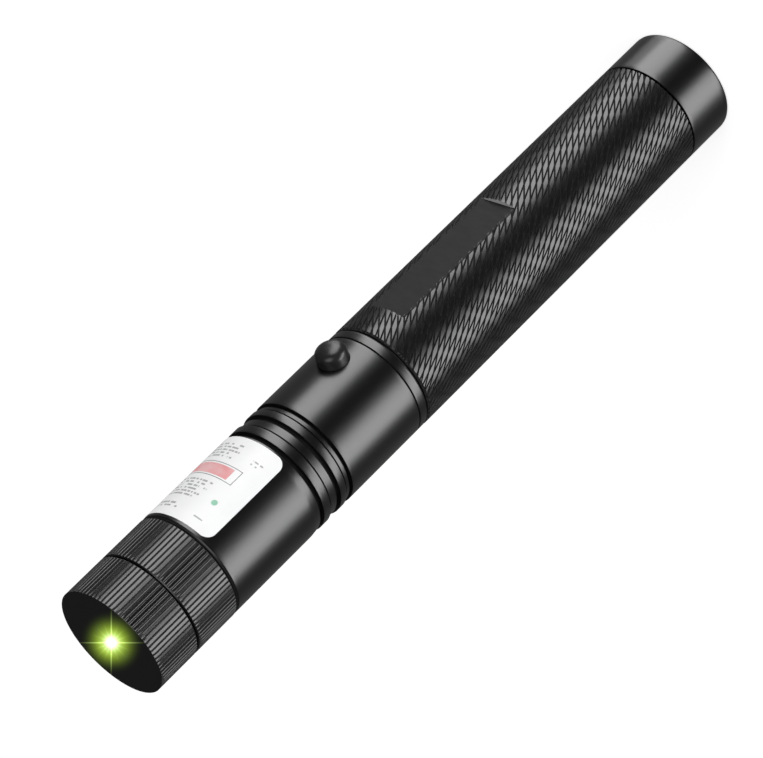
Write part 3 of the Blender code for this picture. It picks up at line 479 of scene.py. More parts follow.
@dataclass(frozen=True)
class Print(Finish):
    """White film with a plain print: broken grey rules, a red bar in a frame, and a green dot.

    The UV map is in millimetres from the film's lower tail-side corner: U along the barrel, V round it. A
    rule, a frame and a bar are each a box's centre and half sizes, (u, v, du, dv), and a dot is its centre
    and radius.
    """

    rules: tuple[Box, ...] = ()
    frames: tuple[Box, ...] = ()
    bars: tuple[Box, ...] = ()
    dots: tuple[Triple, ...] = ()
    ink: Triple = (0.12, 0.13, 0.13)
    red: Triple = (0.80, 0.24, 0.25)
    green: Triple = (0.20, 0.55, 0.36)
    rule_share: float = 0.62
    dash: float = 0.62
    gaps: tuple[float, float] = (0.42, 0.48)
    line_pitch: float = 0.8
    line_shift: float = 7.3
    frame_line: float = 0.14
    bar_share: tuple[float, float] = (0.6, 0.9)
    dot_share: float = 0.9
    dot_core: float = 0.7

    def paint(self, painter: Painter) -> None:
        """The film's white and its inks.

        Args:
            painter: the material's painter.
        """
        patches = self.patches(painter)
        film = painter.node("UVMap", {"uv_map": "film"}).outputs[0]
        u, v, _ = painter.node("SeparateXYZ", Vector=film).outputs
        inked = painter.math("MAXIMUM", self.dashes(painter, u, v), self.outlines(painter, u, v))
        colour = painter.mix(inked, painter.mix(patches, *self.spread()), self.ink)
        faded = painter.math("MULTIPLY", self.covered(painter, u, v, self.bars),
                             painter.step(patches, 0, 1, *self.bar_share))
        colour = painter.mix(faded, colour, self.red)
        for cu, cv, radius in self.dots:
            r = painter.length(painter.math("SUBTRACT", u, cu), painter.math("SUBTRACT", v, cv))
            spot = painter.step(r, radius * self.dot_core, radius, self.dot_share, 0.0)
            colour = painter.mix(spot, colour, self.green)
        painter.own("Base Color", colour)
        painter.own("Roughness", self.satin(painter, patches))

    def dashes(self, painter: Painter, u: Socket, v: Socket) -> Socket:
        """The rules, broken along V alone by noise that differs from line to line.

        Args:
            painter: the painter.
            u: place along the barrel.
            v: place round it.

        Returns:
            How much ink there is.
        """
        line = painter.math("FLOOR", painter.math("DIVIDE", u, self.line_pitch))
        flat = painter.node("CombineXYZ", X=painter.math("MULTIPLY", line, self.line_shift), Y=v).outputs[0]
        noise = painter.node("TexNoise", {"noise_dimensions": "2D"}, Vector=flat,
                             Scale=1 / self.dash, Detail=1.0).outputs[0]
        kept = painter.step(noise, *self.gaps, 0.0, self.rule_share)
        return painter.math("MULTIPLY", self.covered(painter, u, v, self.rules), kept)

    def outlines(self, painter: Painter, u: Socket, v: Socket) -> Socket:
        """The frames' thin lines: each box less the box inside it.

        Args:
            painter: the painter.
            u: place along the barrel.
            v: place round it.

        Returns:
            How much ink there is.
        """
        inner = tuple((cu, cv, du - self.frame_line, dv - self.frame_line) for cu, cv, du, dv in self.frames)
        covers = [self.covered(painter, u, v, boxes) for boxes in (self.frames, inner)]
        return painter.math("SUBTRACT", *covers)

    @staticmethod
    def covered(painter: Painter, u: Socket, v: Socket, boxes: tuple[Box, ...]) -> Socket:
        """One inside any of the boxes, else nothing.

        Args:
            painter: the painter.
            u: place along the barrel.
            v: place round it.
            boxes: the boxes.

        Returns:
            The cover.
        """
        total = 0.0
        for cu, cv, du, dv in boxes:
            along, across = painter.math("COMPARE", u, cu, du), painter.math("COMPARE", v, cv, dv)
            total = painter.math("MAXIMUM", total, painter.math("MULTIPLY", along, across))
        return total


@dataclass(frozen=True)
class SolderMask(Finish):
    """Green board with paler copper tracks under its lacquer."""

    track: float = 0.0009
    track_edge: tuple[float, float] = (0.03, 0.10)
    track_light: float = 1.9

    def paint(self, painter: Painter) -> None:
        """Lacquer over a net of tracks.

        Args:
            painter: the material's painter.
        """
        patches = self.patches(painter)
        net = painter.node("TexVoronoi", {"feature": "DISTANCE_TO_EDGE"}, Vector=painter.place(),
                           Scale=1 / self.track).outputs[0]
        tracks = painter.step(net, *self.track_edge, 1.0, 0.0)
        copper = tuple(c * self.track_light for c in self.colour)
        painter.own("Base Color", painter.mix(tracks, painter.mix(patches, *self.spread()), copper))
        painter.own("Roughness", self.satin(painter, patches))


TURNED_LINES = (1, 1, 14)
FINISHES: dict[Slot, Finish] = {
    Slot.ANODISED: Anodised("black anodised satin", stretch=(1, 1, 2)),
    Slot.ALUMINIUM: Finish("turned aluminium", (0.72, 0.73, 0.74), 0.32, 1.0, stretch=TURNED_LINES),
    Slot.RUBBER: Finish("seal rubber", (0.010, 0.010, 0.010), 0.72, wander=0.2, grain_depth=0.00001),
    Slot.PLASTIC: Finish("gloss black button", (0.016, 0.016, 0.017), 0.30, ior=1.55, wander=0.06,
                         patch=0.0012, grain=0.0004, grain_depth=0.000002),
    Slot.LABEL: Finish("label backing", (0.84, 0.84, 0.85), 0.5, wander=0.02),
    Slot.GLASS: Glass("coated lens glass", (0.80, 0.93, 0.84), 0.03, grain_depth=0.0),
    Slot.GRATING: Glass("grating film", (0.72, 0.86, 0.76), 0.15, grain=0.00003),
    Slot.BRASS: Finish("turned brass", (0.74, 0.55, 0.26), 0.28, 1.0, stretch=TURNED_LINES),
    Slot.NICKEL: Finish("nickel plate", (0.66, 0.65, 0.62), 0.22, 1.0, stretch=(1, 1, 4)),
    Slot.STEEL: Finish("spring steel", (0.55, 0.55, 0.57), 0.27, 1.0, grain=0.0003),
    Slot.BOARD: SolderMask("green circuit board", (0.018, 0.16, 0.05), 0.38),
    Slot.COMPONENT: Finish("moulded component black", (0.018, 0.018, 0.019), 0.5, wander=0.15),
    Slot.SLEEVE: Finish("blue cell sleeve", (0.05, 0.16, 0.48), 0.3, wander=0.1, patch=0.006),
    Slot.FIBRE: Finish("pressed fibre", (0.78, 0.76, 0.68), 0.8, wander=0.12, patch=0.0006,
                       grain_depth=0.00002),
    Slot.CRYSTAL: Glass("laser crystal", (0.62, 0.48, 0.72), 0.04, ior=1.8, grain_depth=0.0),
}
# Both carry the painted glow: emission that stands in for the light's bloom and star.
LIT_CAP = LitAnodised("black anodised lit")
LIT_WINDOW = LitGlass("lit window", (0.01, 0.02, 0.01), 0.12, wander=0.05, grain_depth=0.0)
MILLED_FLAT = Finish("milled black flat", (0.006, 0.006, 0.006), 0.60, ior=1.4, wander=0.05,
                     stretch=(1, 1, 3))
# Pale grey on the flat's end walls: a painted highlight on walls that are black oxide.
FLAT_WALL_HIGHLIGHT = Finish("flat wall painted highlight", (0.50, 0.50, 0.50), 0.55, wander=0.05)
LABEL_PRINT = Print(
    "printed label film", (0.95, 0.955, 0.955), 0.42, wander=0.015, patch=0.004, grain_depth=0.000002,
    rules=((2.0, 12.0, 0.20, 4.0), (2.8, 12.5, 0.20, 3.5), (3.6, 12.0, 0.20, 4.0), (4.4, 12.9, 0.20, 3.1),
           (5.2, 12.2, 0.20, 3.8), (11.6, 11.6, 0.20, 4.4), (12.4, 12.2, 0.20, 3.8), (13.2, 11.6, 0.20, 4.4),
           (14.0, 12.6, 0.20, 3.4), (14.8, 11.8, 0.20, 4.2), (15.6, 12.3, 0.20, 3.7), (18.0, 12.9, 0.24, 2.6),
           (18.8, 12.4, 0.20, 3.1), (3.6, 3.6, 0.16, 1.1), (4.4, 3.9, 0.16, 0.8), (18.8, 4.4, 0.16, 1.0)),
    frames=((8.4, 10.4, 1.75, 6.0),), bars=((8.4, 10.9, 1.30, 5.0),), dots=((14.6, 4.2, 0.70),))


# Shapes


def ends(node: str) -> tuple[float, float]:
    """Lowest and highest height of a CAD node, to the micrometre."""
    low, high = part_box(node)
    return round(low.z, 6), round(high.z, 6)


def even_angles(count: int) -> Array:
    """Evenly spaced angles once round."""
    return np.arange(count) * TURN / count


def unit(vectors: Array) -> Array:
    """Vectors of length one in the same directions."""
    return vectors / np.linalg.norm(vectors, axis=-1, keepdims=True)


def eased(corners: list[Triple], steps: int = 5) -> Array:
    """Closed outline with eased corners.

    A corner P with ease e runs from A = P + e u to B = P + e v, where u and v point to its neighbours, along
    (1 - s)^2 A + 2 s (1 - s) P + s^2 B.

    Args:
        corners: (radius, height, ease) of each corner, anticlockwise with the radius to the right.
        steps: points on an eased corner.

    Returns:
        Points of the outline, (radius, height).
    """
    given = np.array(corners, float)
    point, ease = given[:, :2], given[:, 2:]
    start = (point + ease * unit(np.roll(point, 1, 0) - point))[:, None]
    end = (point + ease * unit(np.roll(point, -1, 0) - point))[:, None]
    s = np.linspace(0, 1, steps)[None, :, None]
    curve = (1 - s) ** 2 * start + 2 * s * (1 - s) * point[:, None] + s ** 2 * end
    flat = curve.reshape(-1, 2)
    return flat[np.linalg.norm(flat - np.roll(flat, 1, 0), axis=1) > WELD]


def refined(outline: Array, longest: float) -> Array:
    """The same closed outline with long sides cut into equal lengths.

    Args:
        outline: its points.
        longest: longest side left.

    Returns:
        The points with the new ones between them.
    """
    sides = np.roll(outline, -1, 0) - outline
    counts = np.maximum(1, np.ceil(np.linalg.norm(sides, axis=1) / longest)).astype(int)
    which = np.repeat(np.arange(len(outline)), counts)
    share = (np.arange(counts.sum()) - np.repeat(np.cumsum(counts) - counts, counts)) / counts[which]
    return outline[which] + share[:, None] * sides[which]


def grid_quads(rows: int, columns: int, rows_close: bool = True, columns_close: bool = True) -> Array:
    """Faces of a grid of points numbered row by row, wound so that rows up and columns to the right face out.

    Args:
        rows: number of rows.
        columns: number of columns.
        rows_close: whether the last row joins the first.
        columns_close: whether the last column joins the first.

    Returns:
        Four point numbers for each face.
    """
    row = np.arange(rows if rows_close else rows - 1)[:, None]
    column = np.arange(columns if columns_close else columns - 1)[None, :]
    up, right = (row + 1) % rows, (column + 1) % columns
    corners = (row * columns + column, row * columns + right, up * columns + right, up * columns + column)
    return np.stack(corners, -1).reshape(-1, 4)


def round_points(radius: Array, angle: Array, height: Array) -> Array:
    """Points x = r sin a, y = -r cos a, z = h: the angle runs from the button's side towards +X."""
    x, y, z = np.broadcast_arrays(radius * np.sin(angle), -radius * np.cos(angle), height)
    return np.stack((x, y, z), -1).reshape(-1, 3)


@dataclass(frozen=True)
class Flutes:
    """Straight grooves along a ring, whose walls catch the lamps where the lands between them are dark."""

    count: int = 80
    mouth: float = 0.00040
    floor: float = 0.00019
    depth: float = 0.000070
    runout: float = 0.00010
    land_steps: int = 3

    def angles(self, radius: float) -> Array:
        """Angles of the columns: lips, mid walls and floor edges of each groove, and steps across each land.

        Args:
            radius: outer radius of the ring.

        Returns:
            The angles in order.
        """
        pitch = TURN / self.count
        lip, foot = self.mouth / 2 / radius, self.floor / 2 / radius
        middle = (lip + foot) / 2
        land = np.linspace(lip, pitch - lip, self.land_steps + 1)[:-1]
        one = np.concatenate(([-lip, -middle, -foot, foot, middle], land))
        return (np.arange(self.count)[:, None] * pitch + one).ravel()

    def share(self, angle: Array, radius: float) -> Array:
        """How deep in a groove each angle lies: 1 on the floor, 0 on a land, a straight wall between.

        Args:
            angle: the angles.
            radius: outer radius of the ring.

        Returns:
            The share of the depth.
        """
        pitch = TURN / self.count
        off = np.abs(angle / pitch - np.round(angle / pitch)) * pitch * radius
        return np.clip((self.mouth / 2 - off) / (self.mouth / 2 - self.floor / 2), 0, 1)


@dataclass(frozen=True)
class Knurl:
    """Two families of slanting grooves of the same hand that cut each other into long diamonds."""

    starts: tuple[int, int] = (62, 50)
    slants: tuple[float, float] = (22.5, 38.0)
    mouth: float = 0.00033
    floor: float = 0.00016
    depth: float = 0.00022
    land_steps: int = 3

    def lines(self, family: int, radius: float) -> tuple[Array, float, float]:
        """Where the grid's lines lie within one pitch of a family.

        Args:
            family: 0 or 1.
            radius: outer radius of the tube.

        Returns:
            The lines, half a groove's mouth and half its floor, all as shares of the pitch.
        """
        pitch = TURN * radius * math.cos(math.radians(self.slants[family])) / self.starts[family]
        lip, foot = self.mouth / 2 / pitch, self.floor / 2 / pitch
        land = np.linspace(lip, 1 - lip, self.land_steps + 1)[:-1]
        return np.concatenate(([-lip, -foot, foot], land)), lip, foot

    def skin(self, radius: float, low: float, high: float) -> tuple[Array, Array, Array]:
        """The knurled skin as a grid whose lines follow both families of grooves.

        Family k has the phase p_k = N_k a / turn + N_k z tan(s_k) / (turn R), so a point with phases p and q
        is at z = (q - N1 p / N0) / k, where k = N1 (tan s1 - tan s0) / (turn R), and at the angle
        a = turn p / N0 - z tan(s0) / R. Once round, p grows by N0 and q by N1. The radius is R less the depth
        times the larger groove share.

        Args:
            radius: outer radius of the tube.
            low: lowest height that the skin has to cover.
            high: highest height.

        Returns:
            Points, faces and each point's groove share. The skin reaches past both heights.
        """
        n0, n1 = self.starts
        t0, t1 = (math.tan(math.radians(s)) for s in self.slants)
        rate = n1 * (t1 - t0) / (TURN * radius)
        lines0, lip0, foot0 = self.lines(0, radius)
        lines1, lip1, foot1 = self.lines(1, radius)
        first, last = math.floor(low * rate) - 1, math.ceil(n1 + high * rate) + 2
        p = np.append((np.arange(n0)[:, None] + lines0).ravel(), n0 + lines0[0])[:, None]
        q = (np.arange(first, last)[:, None] + lines1).ravel()[None, :]
        z = (q - n1 * p / n0) / rate
        a = TURN * p / n0 - z * t0 / radius

        def share(phase: Array, lip: float, foot: float) -> Array:
            """How deep in a groove a phase lies, 0 to 1."""
            return np.clip((lip - np.abs(phase - np.round(phase))) / (lip - foot), 0, 1)

        groove = np.maximum(share(p, lip0, foot0), share(q, lip1, foot1))
        points = round_points(radius - self.depth * groove, a, z)
        number = np.arange(z.size).reshape(z.shape)
        round_once = n1 * len(lines1)
        number[-1, round_once:] = number[0, :-round_once]

        def corners(grid: Array) -> Array:
            """The grid's values at the four corners of each face."""
            return np.stack((grid[:-1, :-1], grid[1:, :-1], grid[1:, 1:], grid[:-1, 1:]), -1)

        heights = corners(z)
        kept = corners(number)[(heights.max(-1) > low) & (heights.min(-1) < high)]
        used, faces = np.unique(kept, return_inverse=True)
        return points[used], faces.reshape(-1, 4), groove.ravel()[used]


# Making and dressing a piece


def add_surface(name: str, points: Array, quads: Array, groove: Array | None = None) -> bpy.types.Object:
    """New object from a grid: poles and seams are welded, and faces point outwards.

    Args:
        name: the piece's name.
        points: one row of x, y, z for each point.
        quads: four point numbers for each face.
        groove: how deep in a groove each point lies, for the matt finish with painted shade.

    Returns:
        The object.
    """
    mesh = bpy.data.meshes.new(name)
    mesh.vertices.add(len(points))
    mesh.vertices.foreach_set("co", points.astype(np.float32).ravel())
    mesh.loops.add(quads.size)
    mesh.loops.foreach_set("vertex_index", quads.astype(np.int32).ravel())
    mesh.polygons.add(len(quads))
    mesh.polygons.foreach_set("loop_start", np.arange(0, quads.size, 4, dtype=np.int32))
    mesh.update(calc_edges=True)
    if groove is not None:
        mesh.attributes.new("groove", "FLOAT", "POINT").data.foreach_set("value", groove.astype(np.float32))
    made = bpy.data.objects.new(name, mesh)
    bpy.context.scene.collection.objects.link(made)
    bm = bmesh.new()
    bm.from_mesh(mesh)
    bmesh.ops.remove_doubles(bm, verts=bm.verts, dist=WELD)
    bmesh.ops.recalc_face_normals(bm, faces=bm.faces)
    bm.to_mesh(mesh)
    bm.free()
    return made


def add_turned(name: str, outline: Array, angle: Array, cut: Array | float = 0.0,
               groove: Array | None = None) -> bpy.types.Object:
    """Object from a closed outline carried round the barrel's axis.

    Args:
        name: its name.
        outline: (radius, height) points.
        angle: angles of the columns.
        cut: how far the surface lies inside the outline, by row and column.
        groove: how deep in a groove it lies, by row and column.

    Returns:
        The object.
    """
    points = round_points(outline[:, :1] - cut, angle[None, :], outline[:, 1:])
    if groove is not None:
        groove = np.broadcast_to(groove, (len(outline), len(angle))).ravel()
    return add_surface(name, points, grid_quads(len(outline), len(angle)), groove)


def add_block(name: str, low: Triple, high: Triple) -> bpy.types.Object:
    """Plain block that cuts a slot or a flat.

    Args:
        name: its name.
        low: its lowest corner.
        high: its highest corner.

    Returns:
        The object.
    """
    x, y = np.array([low[0], high[0], high[0], low[0]]), np.array([low[1], low[1], high[1], high[1]])
    points = np.concatenate([np.column_stack((x, y, np.full(4, z))) for z in (low[2], high[2])])
    quads = np.concatenate((grid_quads(2, 4, rows_close=False), [[3, 2, 1, 0], [4, 5, 6, 7]]))
    return add_surface(name, points, quads)


def carve(piece: bpy.types.Object, cutter: bpy.types.Object) -> None:
    """Takes the cutter's space out of a piece, for good.

    Args:
        piece: the piece.
        cutter: a closed object, removed afterwards.
    """
    modifier = piece.modifiers.new("carve", "BOOLEAN")
    modifier.operation, modifier.solver, modifier.object = "DIFFERENCE", "EXACT", cutter
    bpy.context.view_layer.update()
    result = piece.evaluated_get(bpy.context.evaluated_depsgraph_get())
    carved = bpy.data.meshes.new_from_object(result)
    piece.modifiers.clear()
    old, piece.data = piece.data, carved
    carved.name = piece.name
    bpy.data.meshes.remove(old)
    bpy.data.objects.remove(cutter)


def face_button(piece: bpy.types.Object, height: float) -> None:
    """Turns a piece made round +Z so that its top points to the button's side, at a height of the barrel."""
    piece.data.transform(Matrix.Translation((0, 0, height)) @ Matrix.Rotation(math.pi / 2, 4, "X"))


def dress(piece: bpy.types.Object, finish: Finish, body: Body, slot: Slot, *nodes: str) -> None:
    """Smooths a piece up to its sharp edges, gives it its finish and puts it on its body.

    Args:
        piece: the piece.
        finish: its finish, unless it has one already.
        body: the CAD body that it rides on.
        slot: the record's slot of its material; not used.
        nodes: the CAD nodes that it stands for.
    """
    mesh = piece.data
    if not mesh.materials:
        mesh.materials.append(finish.material())
    mesh.polygons.foreach_set("use_smooth", np.ones(len(mesh.polygons), bool))
    mesh.set_sharp_from_angle(angle=SMOOTH_BEND)
    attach(piece, body.value)
    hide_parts(*nodes)
    LOG.info("%s: %d faces on %s", piece.name, len(mesh.polygons), body.value)


# The barrel's screwed pieces


@dataclass
class Neck:
    """Seal groove and thread of a screwed piece, between its tip and its shoulder, up (1) or down (-1)."""

    radius: float
    length: float
    bore: float
    pitch: float
    way: int = -1
    tip: float = 0.0
    groove_gap: float = 0.0006
    groove_width: float = 0.0014
    groove_depth: float = 0.0011
    thread_gap: float = 0.0002
    thread_depth: float = 0.00022
    thread_fullness: float = 0.7
    lead: float = 0.0004
    ease: float = 0.00012

    @property
    def shoulder(self) -> float:
        """Height where the neck meets its piece."""
        return round(self.tip - self.way * self.length, 6)

    def corners(self) -> list[Triple]:
        """Outer corners from the shoulder to the tip.

        Returns:
            The corners, (radius, height, ease).
        """
        near, far = self.groove_gap, self.groove_gap + self.groove_width
        floor = self.radius - self.groove_depth
        steps = ((0, self.radius, 0), (near, self.radius, self.ease), (near, floor, 0), (far, floor, 0),
                 (far, self.radius, self.ease), (self.length - self.lead, self.radius, 0),
                 (self.length, self.radius - self.lead / 2, 0))
        return [(r, self.shoulder + self.way * d, e) for d, r, e in steps]

    def thread(self, radius: Array, height: Array, angle: Array) -> Array:
        """Depth of the thread in the neck's outer wall, and nothing elsewhere.

        It is depth (1 - |2 f - 1|)^0.7, f being the fraction of z / pitch + a / turn, and fades over half a
        pitch at both ends.

        Args:
            radius: radii of the rows.
            height: heights of the rows.
            angle: angles of the columns.

        Returns:
            How far the surface lies inside the neck's radius, by row and column.
        """
        near = self.groove_gap + self.groove_width + self.thread_gap
        low, high = sorted(self.shoulder + self.way * d for d in (near, self.length - self.lead))
        phase = height / self.pitch + angle / TURN
        tooth = (1 - np.abs(2 * (phase - np.floor(phase)) - 1)) ** self.thread_fullness
        fade = np.clip(np.minimum(height - low, high - height) / (self.pitch / 2), 0, 1)
        return (np.abs(radius - self.radius) < NEAR) * self.thread_depth * tooth * fade


@dataclass
class ScrewedPiece:
    """Anodised piece with a neck: a closed outline carried round the axis, with what is cut into it."""

    name: str
    node: str
    body: Body
    neck: Neck
    finish: Finish = FINISHES[Slot.ANODISED]
    radius: float = 0.0115
    longest: float = 0.0009
    columns: int = 192

    def __post_init__(self) -> None:
        """Reads from the CAD node where the piece and its neck end."""
        self.low, self.high = ends(self.node)
        self.neck.tip = self.high if self.neck.way > 0 else self.low

    def corners(self) -> list[Triple]:
        """Corners of the outline, anticlockwise with the radius to the right."""
        return []

    def angles(self) -> Array:
        """Angles of the columns."""
        return even_angles(self.columns)

    def relief(self, radius: Array, height: Array, angle: Array) -> tuple[Array | float, Array | None]:
        """How far the wall lies inside the outline, and how matt it is and how much painted shade darkens it,
        by row and column.
        """
        return 0.0, None

    def turned(self) -> bpy.types.Object:
        """The piece before it gets its finish.

        Returns:
            The object.
        """
        outline, angle = refined(eased(self.corners()), self.longest), self.angles()
        places = (outline[:, :1], outline[:, 1:], angle[None, :])
        cut, black = self.relief(*places)
        return add_turned(self.name, outline, angle, cut + self.neck.thread(*places), black)

    def build(self) -> None:
        """Builds and dresses the piece."""
        dress(self.turned(), self.finish, self.body, Slot.ANODISED, self.node)


@dataclass
class TailCap(ScrewedPiece):
    """Smooth cap whose face has the key lock's hole."""

    name: str = "tail_cap_turned"
    node: str = "tail_cap"
    body: Body = Body.TAIL
    neck: Neck = field(default_factory=lambda: Neck(0.0102, 0.0050, 0.0083, 0.0010, way=1))
    wall: float = 0.0025
    hole: float = 0.0053
    tail_ease: float = 0.0006
    seam: float = 0.00012
    wall_ease: float = 0.0003

    def corners(self) -> list[Triple]:
        """Corners from the hole in the face, up the outside and the neck, and down the inside.

        Returns:
            The corners, (radius, height, ease).
        """
        outside = [(self.hole, self.low, EDGE), (self.radius, self.low, self.tail_ease),
                   (self.radius, self.neck.shoulder, self.seam)]
        inside = [(self.neck.bore, self.high, EDGE), (self.neck.bore, self.wall, self.wall_ease),
                  (self.hole, self.wall, EDGE)]
        return outside + self.neck.corners() + inside


@dataclass
class Head(ScrewedPiece):
    """Head housing: plain section with the button's hole, grip bands and the sticker's place.

    It is a little thinner than the rings, so that the film on it lies level with them. Heights are rises
    above the shoulder, and those of the bands are rises above the lowest groove.
    """

    name: str = "head_housing_turned"
    node: str = "head_housing"
    body: Body = Body.HEAD
    neck: Neck = field(default_factory=lambda: Neck(0.0102, 0.0050, 0.0083, 0.0010))
    radius: float = 0.01146
    longest: float = 0.0007
    columns: int = 288
    bore: float = 0.0093
    seam: float = 0.00035
    board_rise: float = 0.0025
    collar_rise: float = 0.0021
    collar_width: float = 0.00034
    collar_depth: float = 0.00030
    bands_rise: float = 0.0213
    deep: float = 0.0009
    fine: float = 0.0006
    floor: float = 0.00035
    band_ease: float = 0.00006
    bevel_depth: float = 0.0002
    bevel_width: float = 0.00166
    bevel_ease: float = 0.0004
    black_below: float = 0.00050
    button_hole: float = 0.00313
    hole_depths: tuple[float, float] = (0.0082, 0.0130)

    def bands(self) -> list[Triple]:
        """Corners of the grip bands from the lowest groove up.

        Returns:
            The corners, (radius, height, ease).
        """
        base, r, e = self.neck.shoulder + self.bands_rise, self.radius, self.band_ease
        steps = ((0.0, 0.0006, self.deep), (0.0006, 0.00128, self.floor), (0.00128, 0.00174, self.fine),
                 (0.00326, 0.00416, self.deep), (0.00416, 0.00566, self.floor), (0.00566, 0.00612, self.fine),
                 (0.00792, 0.00882, self.deep))
        corners, last = [(r, base, e)], 0.0
        for start, end, depth in steps:
            if start > last:
                corners += [(r, base + last, e), (r, base + start, e)]
            corners += [(r - depth, base + start, 0.0), (r - depth, base + end, 0.0)]
            last = end
        corners.append((r - self.bevel_depth, base + last, e))
        return corners + [(r, base + last + self.bevel_width, self.bevel_ease)]

    def corners(self) -> list[Triple]:
        """Corners from the neck's tip, up the outside and down the bores.

        Returns:
            The corners, (radius, height, ease).
        """
        r, bore, shoulder = self.radius, self.neck.bore, self.neck.shoulder
        collar, board = shoulder + self.collar_rise, shoulder + self.board_rise
        collar_top, collar_floor = collar + self.collar_width, r - self.collar_depth
        return ([(bore, self.low, EDGE)] + self.neck.corners()[::-1]
                + [(r - self.seam, shoulder, 0), (r, shoulder + self.seam, EDGE), (r, collar, FINE_EDGE),
                   (collar_floor, collar, 0), (collar_floor, collar_top, 0), (r, collar_top, FINE_EDGE)]
                + self.bands()
                + [(r, self.high - self.seam, EDGE), (r - self.seam, self.high, 0),
                   (self.bore, self.high, EDGE), (self.bore, board, 0), (bore, board, EDGE)])

    def relief(self, radius: Array, height: Array, angle: Array) -> tuple[Array | float, Array | None]:
        """Nothing is cut, and the grooves and both seams are matt, with painted shade that makes them black.

        Args:
            radius: radii of the rows.
            height: heights of the rows.
            angle: angles of the columns; not used.

        Returns:
            No cut, and one where the wall is matt and painted black as shade.
        """
        shoulder = self.neck.shoulder
        collar_top = shoulder + self.collar_rise + self.collar_width
        seams = (radius < self.radius - WELD) & ((height < shoulder + self.seam / 2) |
                                                 (height > self.high - self.seam / 2))
        line = (radius < self.radius - self.collar_depth / 2) & (height < collar_top + WELD)
        grooves = radius < self.radius - self.black_below
        outside = (radius > self.neck.radius + WELD) & (height > shoulder - WELD)
        return 0.0, (outside & (grooves | seams | line)).astype(float)

    def turned(self) -> bpy.types.Object:
        """The housing with the button's hole.

        Returns:
            The object.
        """
        head = super().turned()
        r = self.button_hole
        inner, outer = self.hole_depths
        hole = eased([(0, inner, 0), (r, inner, 0), (r, outer, 0), (0, outer, 0)])
        cutter = add_turned("hole_cutter", hole, even_angles(SMALL_COLUMNS))
        face_button(cutter, sum(ends("switch_button")) / 2)
        carve(head, cutter)
        return head


@dataclass
class FlutedRing(ScrewedPiece):
    """Ring with straight flutes above its neck: the focusing ring and the pattern cap."""

    low_edge: float = 0.00020
    high_edge: float = 0.00020
    flutes: Flutes = Flutes()

    def inside(self) -> list[Triple]:
        """Corners of the inner wall from the top down, (radius, height, ease)."""
        return []

    def corners(self) -> list[Triple]:
        """Corners from the neck's tip, up the outside and down the inside.

        Returns:
            The corners, (radius, height, ease).
        """
        r, shoulder, high_land = self.radius, self.neck.shoulder, self.high - self.high_edge
        outside = [(r - self.low_edge, shoulder, 0), (r, shoulder + self.low_edge, 0),
                   (r, high_land - self.flutes.runout, 0), (r, high_land, 0),
                   (r - self.high_edge, self.high, 0)]
        return [(self.neck.bore, self.low, EDGE)] + self.neck.corners()[::-1] + outside + self.inside()

    def angles(self) -> Array:
        """Angles of the columns, which follow the flutes."""
        return self.flutes.angles(self.radius)

    def relief(self, radius: Array, height: Array, angle: Array) -> tuple[Array | float, Array | None]:
        """The flutes and the painted shade in the seam at the shoulder.

        A flute's depth is its share of it round the ring, times (high - h) / runout near the top, up to 1.
        The lower half of its walls darkens to matt black on the floor, as painted shade.

        Args:
            radius: radii of the rows.
            height: heights of the rows.
            angle: angles of the columns.

        Returns:
            How far the wall lies inside the outline, and how much painted shade darkens it.
        """
        left = np.clip((self.high - self.high_edge - height) / self.flutes.runout, 0, 1)
        share = self.flutes.share(angle, self.radius) * (radius > self.radius - WELD) * left
        low = height < self.neck.shoulder + WELD
        seam = (radius > self.neck.radius) & (radius < self.radius - WELD) & low
        return self.flutes.depth * share, np.maximum(seam, np.clip(2 * share - 1, 0, 1))


@dataclass
class FocusRing(FlutedRing):
    """Focusing ring: seat for the lens, and above it the socket for the pattern cap's neck."""

    name: str = "focus_ring_fluted"
    node: str = "focus_ring"
    body: Body = Body.FOCUS
    neck: Neck = field(default_factory=lambda: Neck(0.0090, 0.0047, 0.0066, 0.0005))
    socket_radius: float = 0.0093
    socket_depth: float = 0.0047
    seat_radius: float = 0.0073
    seat_rise: float = 0.0008

    def inside(self) -> list[Triple]:
        """Corners of the socket, the seat and the bore from the top down."""
        socket, seat = self.high - self.socket_depth, self.neck.shoulder + self.seat_rise
        return [(self.socket_radius, self.high, EDGE), (self.socket_radius, socket, 0),
                (self.seat_radius, socket, EDGE), (self.seat_radius, seat, 0), (self.neck.bore, seat, 0)]


@dataclass
class PatternCap(FlutedRing):
    """Pattern cap: its lip holds the window and leaves the round aperture open."""

    name: str = "star_cap_fluted"
    node: str = "star_cap"
    body: Body = Body.STAR
    neck: Neck = field(default_factory=lambda: Neck(0.0090, 0.0047, 0.0070, 0.00075))
    finish: Finish = LIT_CAP
    high_edge: float = 0.00006
    aperture: float = 0.0040
    lip: float = 0.0005

    def inside(self) -> list[Triple]:
        """Corners of the aperture and the lip's back."""
        back = self.high - self.lip
        return [(self.aperture, self.high, FINE_EDGE), (self.aperture, back, 0), (self.neck.bore, back, 0)]


@dataclass
class SealRing:
    """Rubber ring in a neck's groove: a circle carried round the axis, as big as its CAD node."""

    node: str
    body: Body
    points: int = 20

    def build(self) -> None:
        """Builds and dresses the ring."""
        low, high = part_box(self.node)
        section, turn = (high.z - low.z) / 2, even_angles(self.points)
        radius = high.x - section + section * np.cos(turn)
        height = (low.z + high.z) / 2 + section * np.sin(turn)
        ring = add_turned(self.node + "_rubber", np.stack((radius, height), 1), even_angles(ROUND_COLUMNS))
        dress(ring, FINISHES[Slot.RUBBER], self.body, Slot.RUBBER, self.node)


# The barrel's other pieces


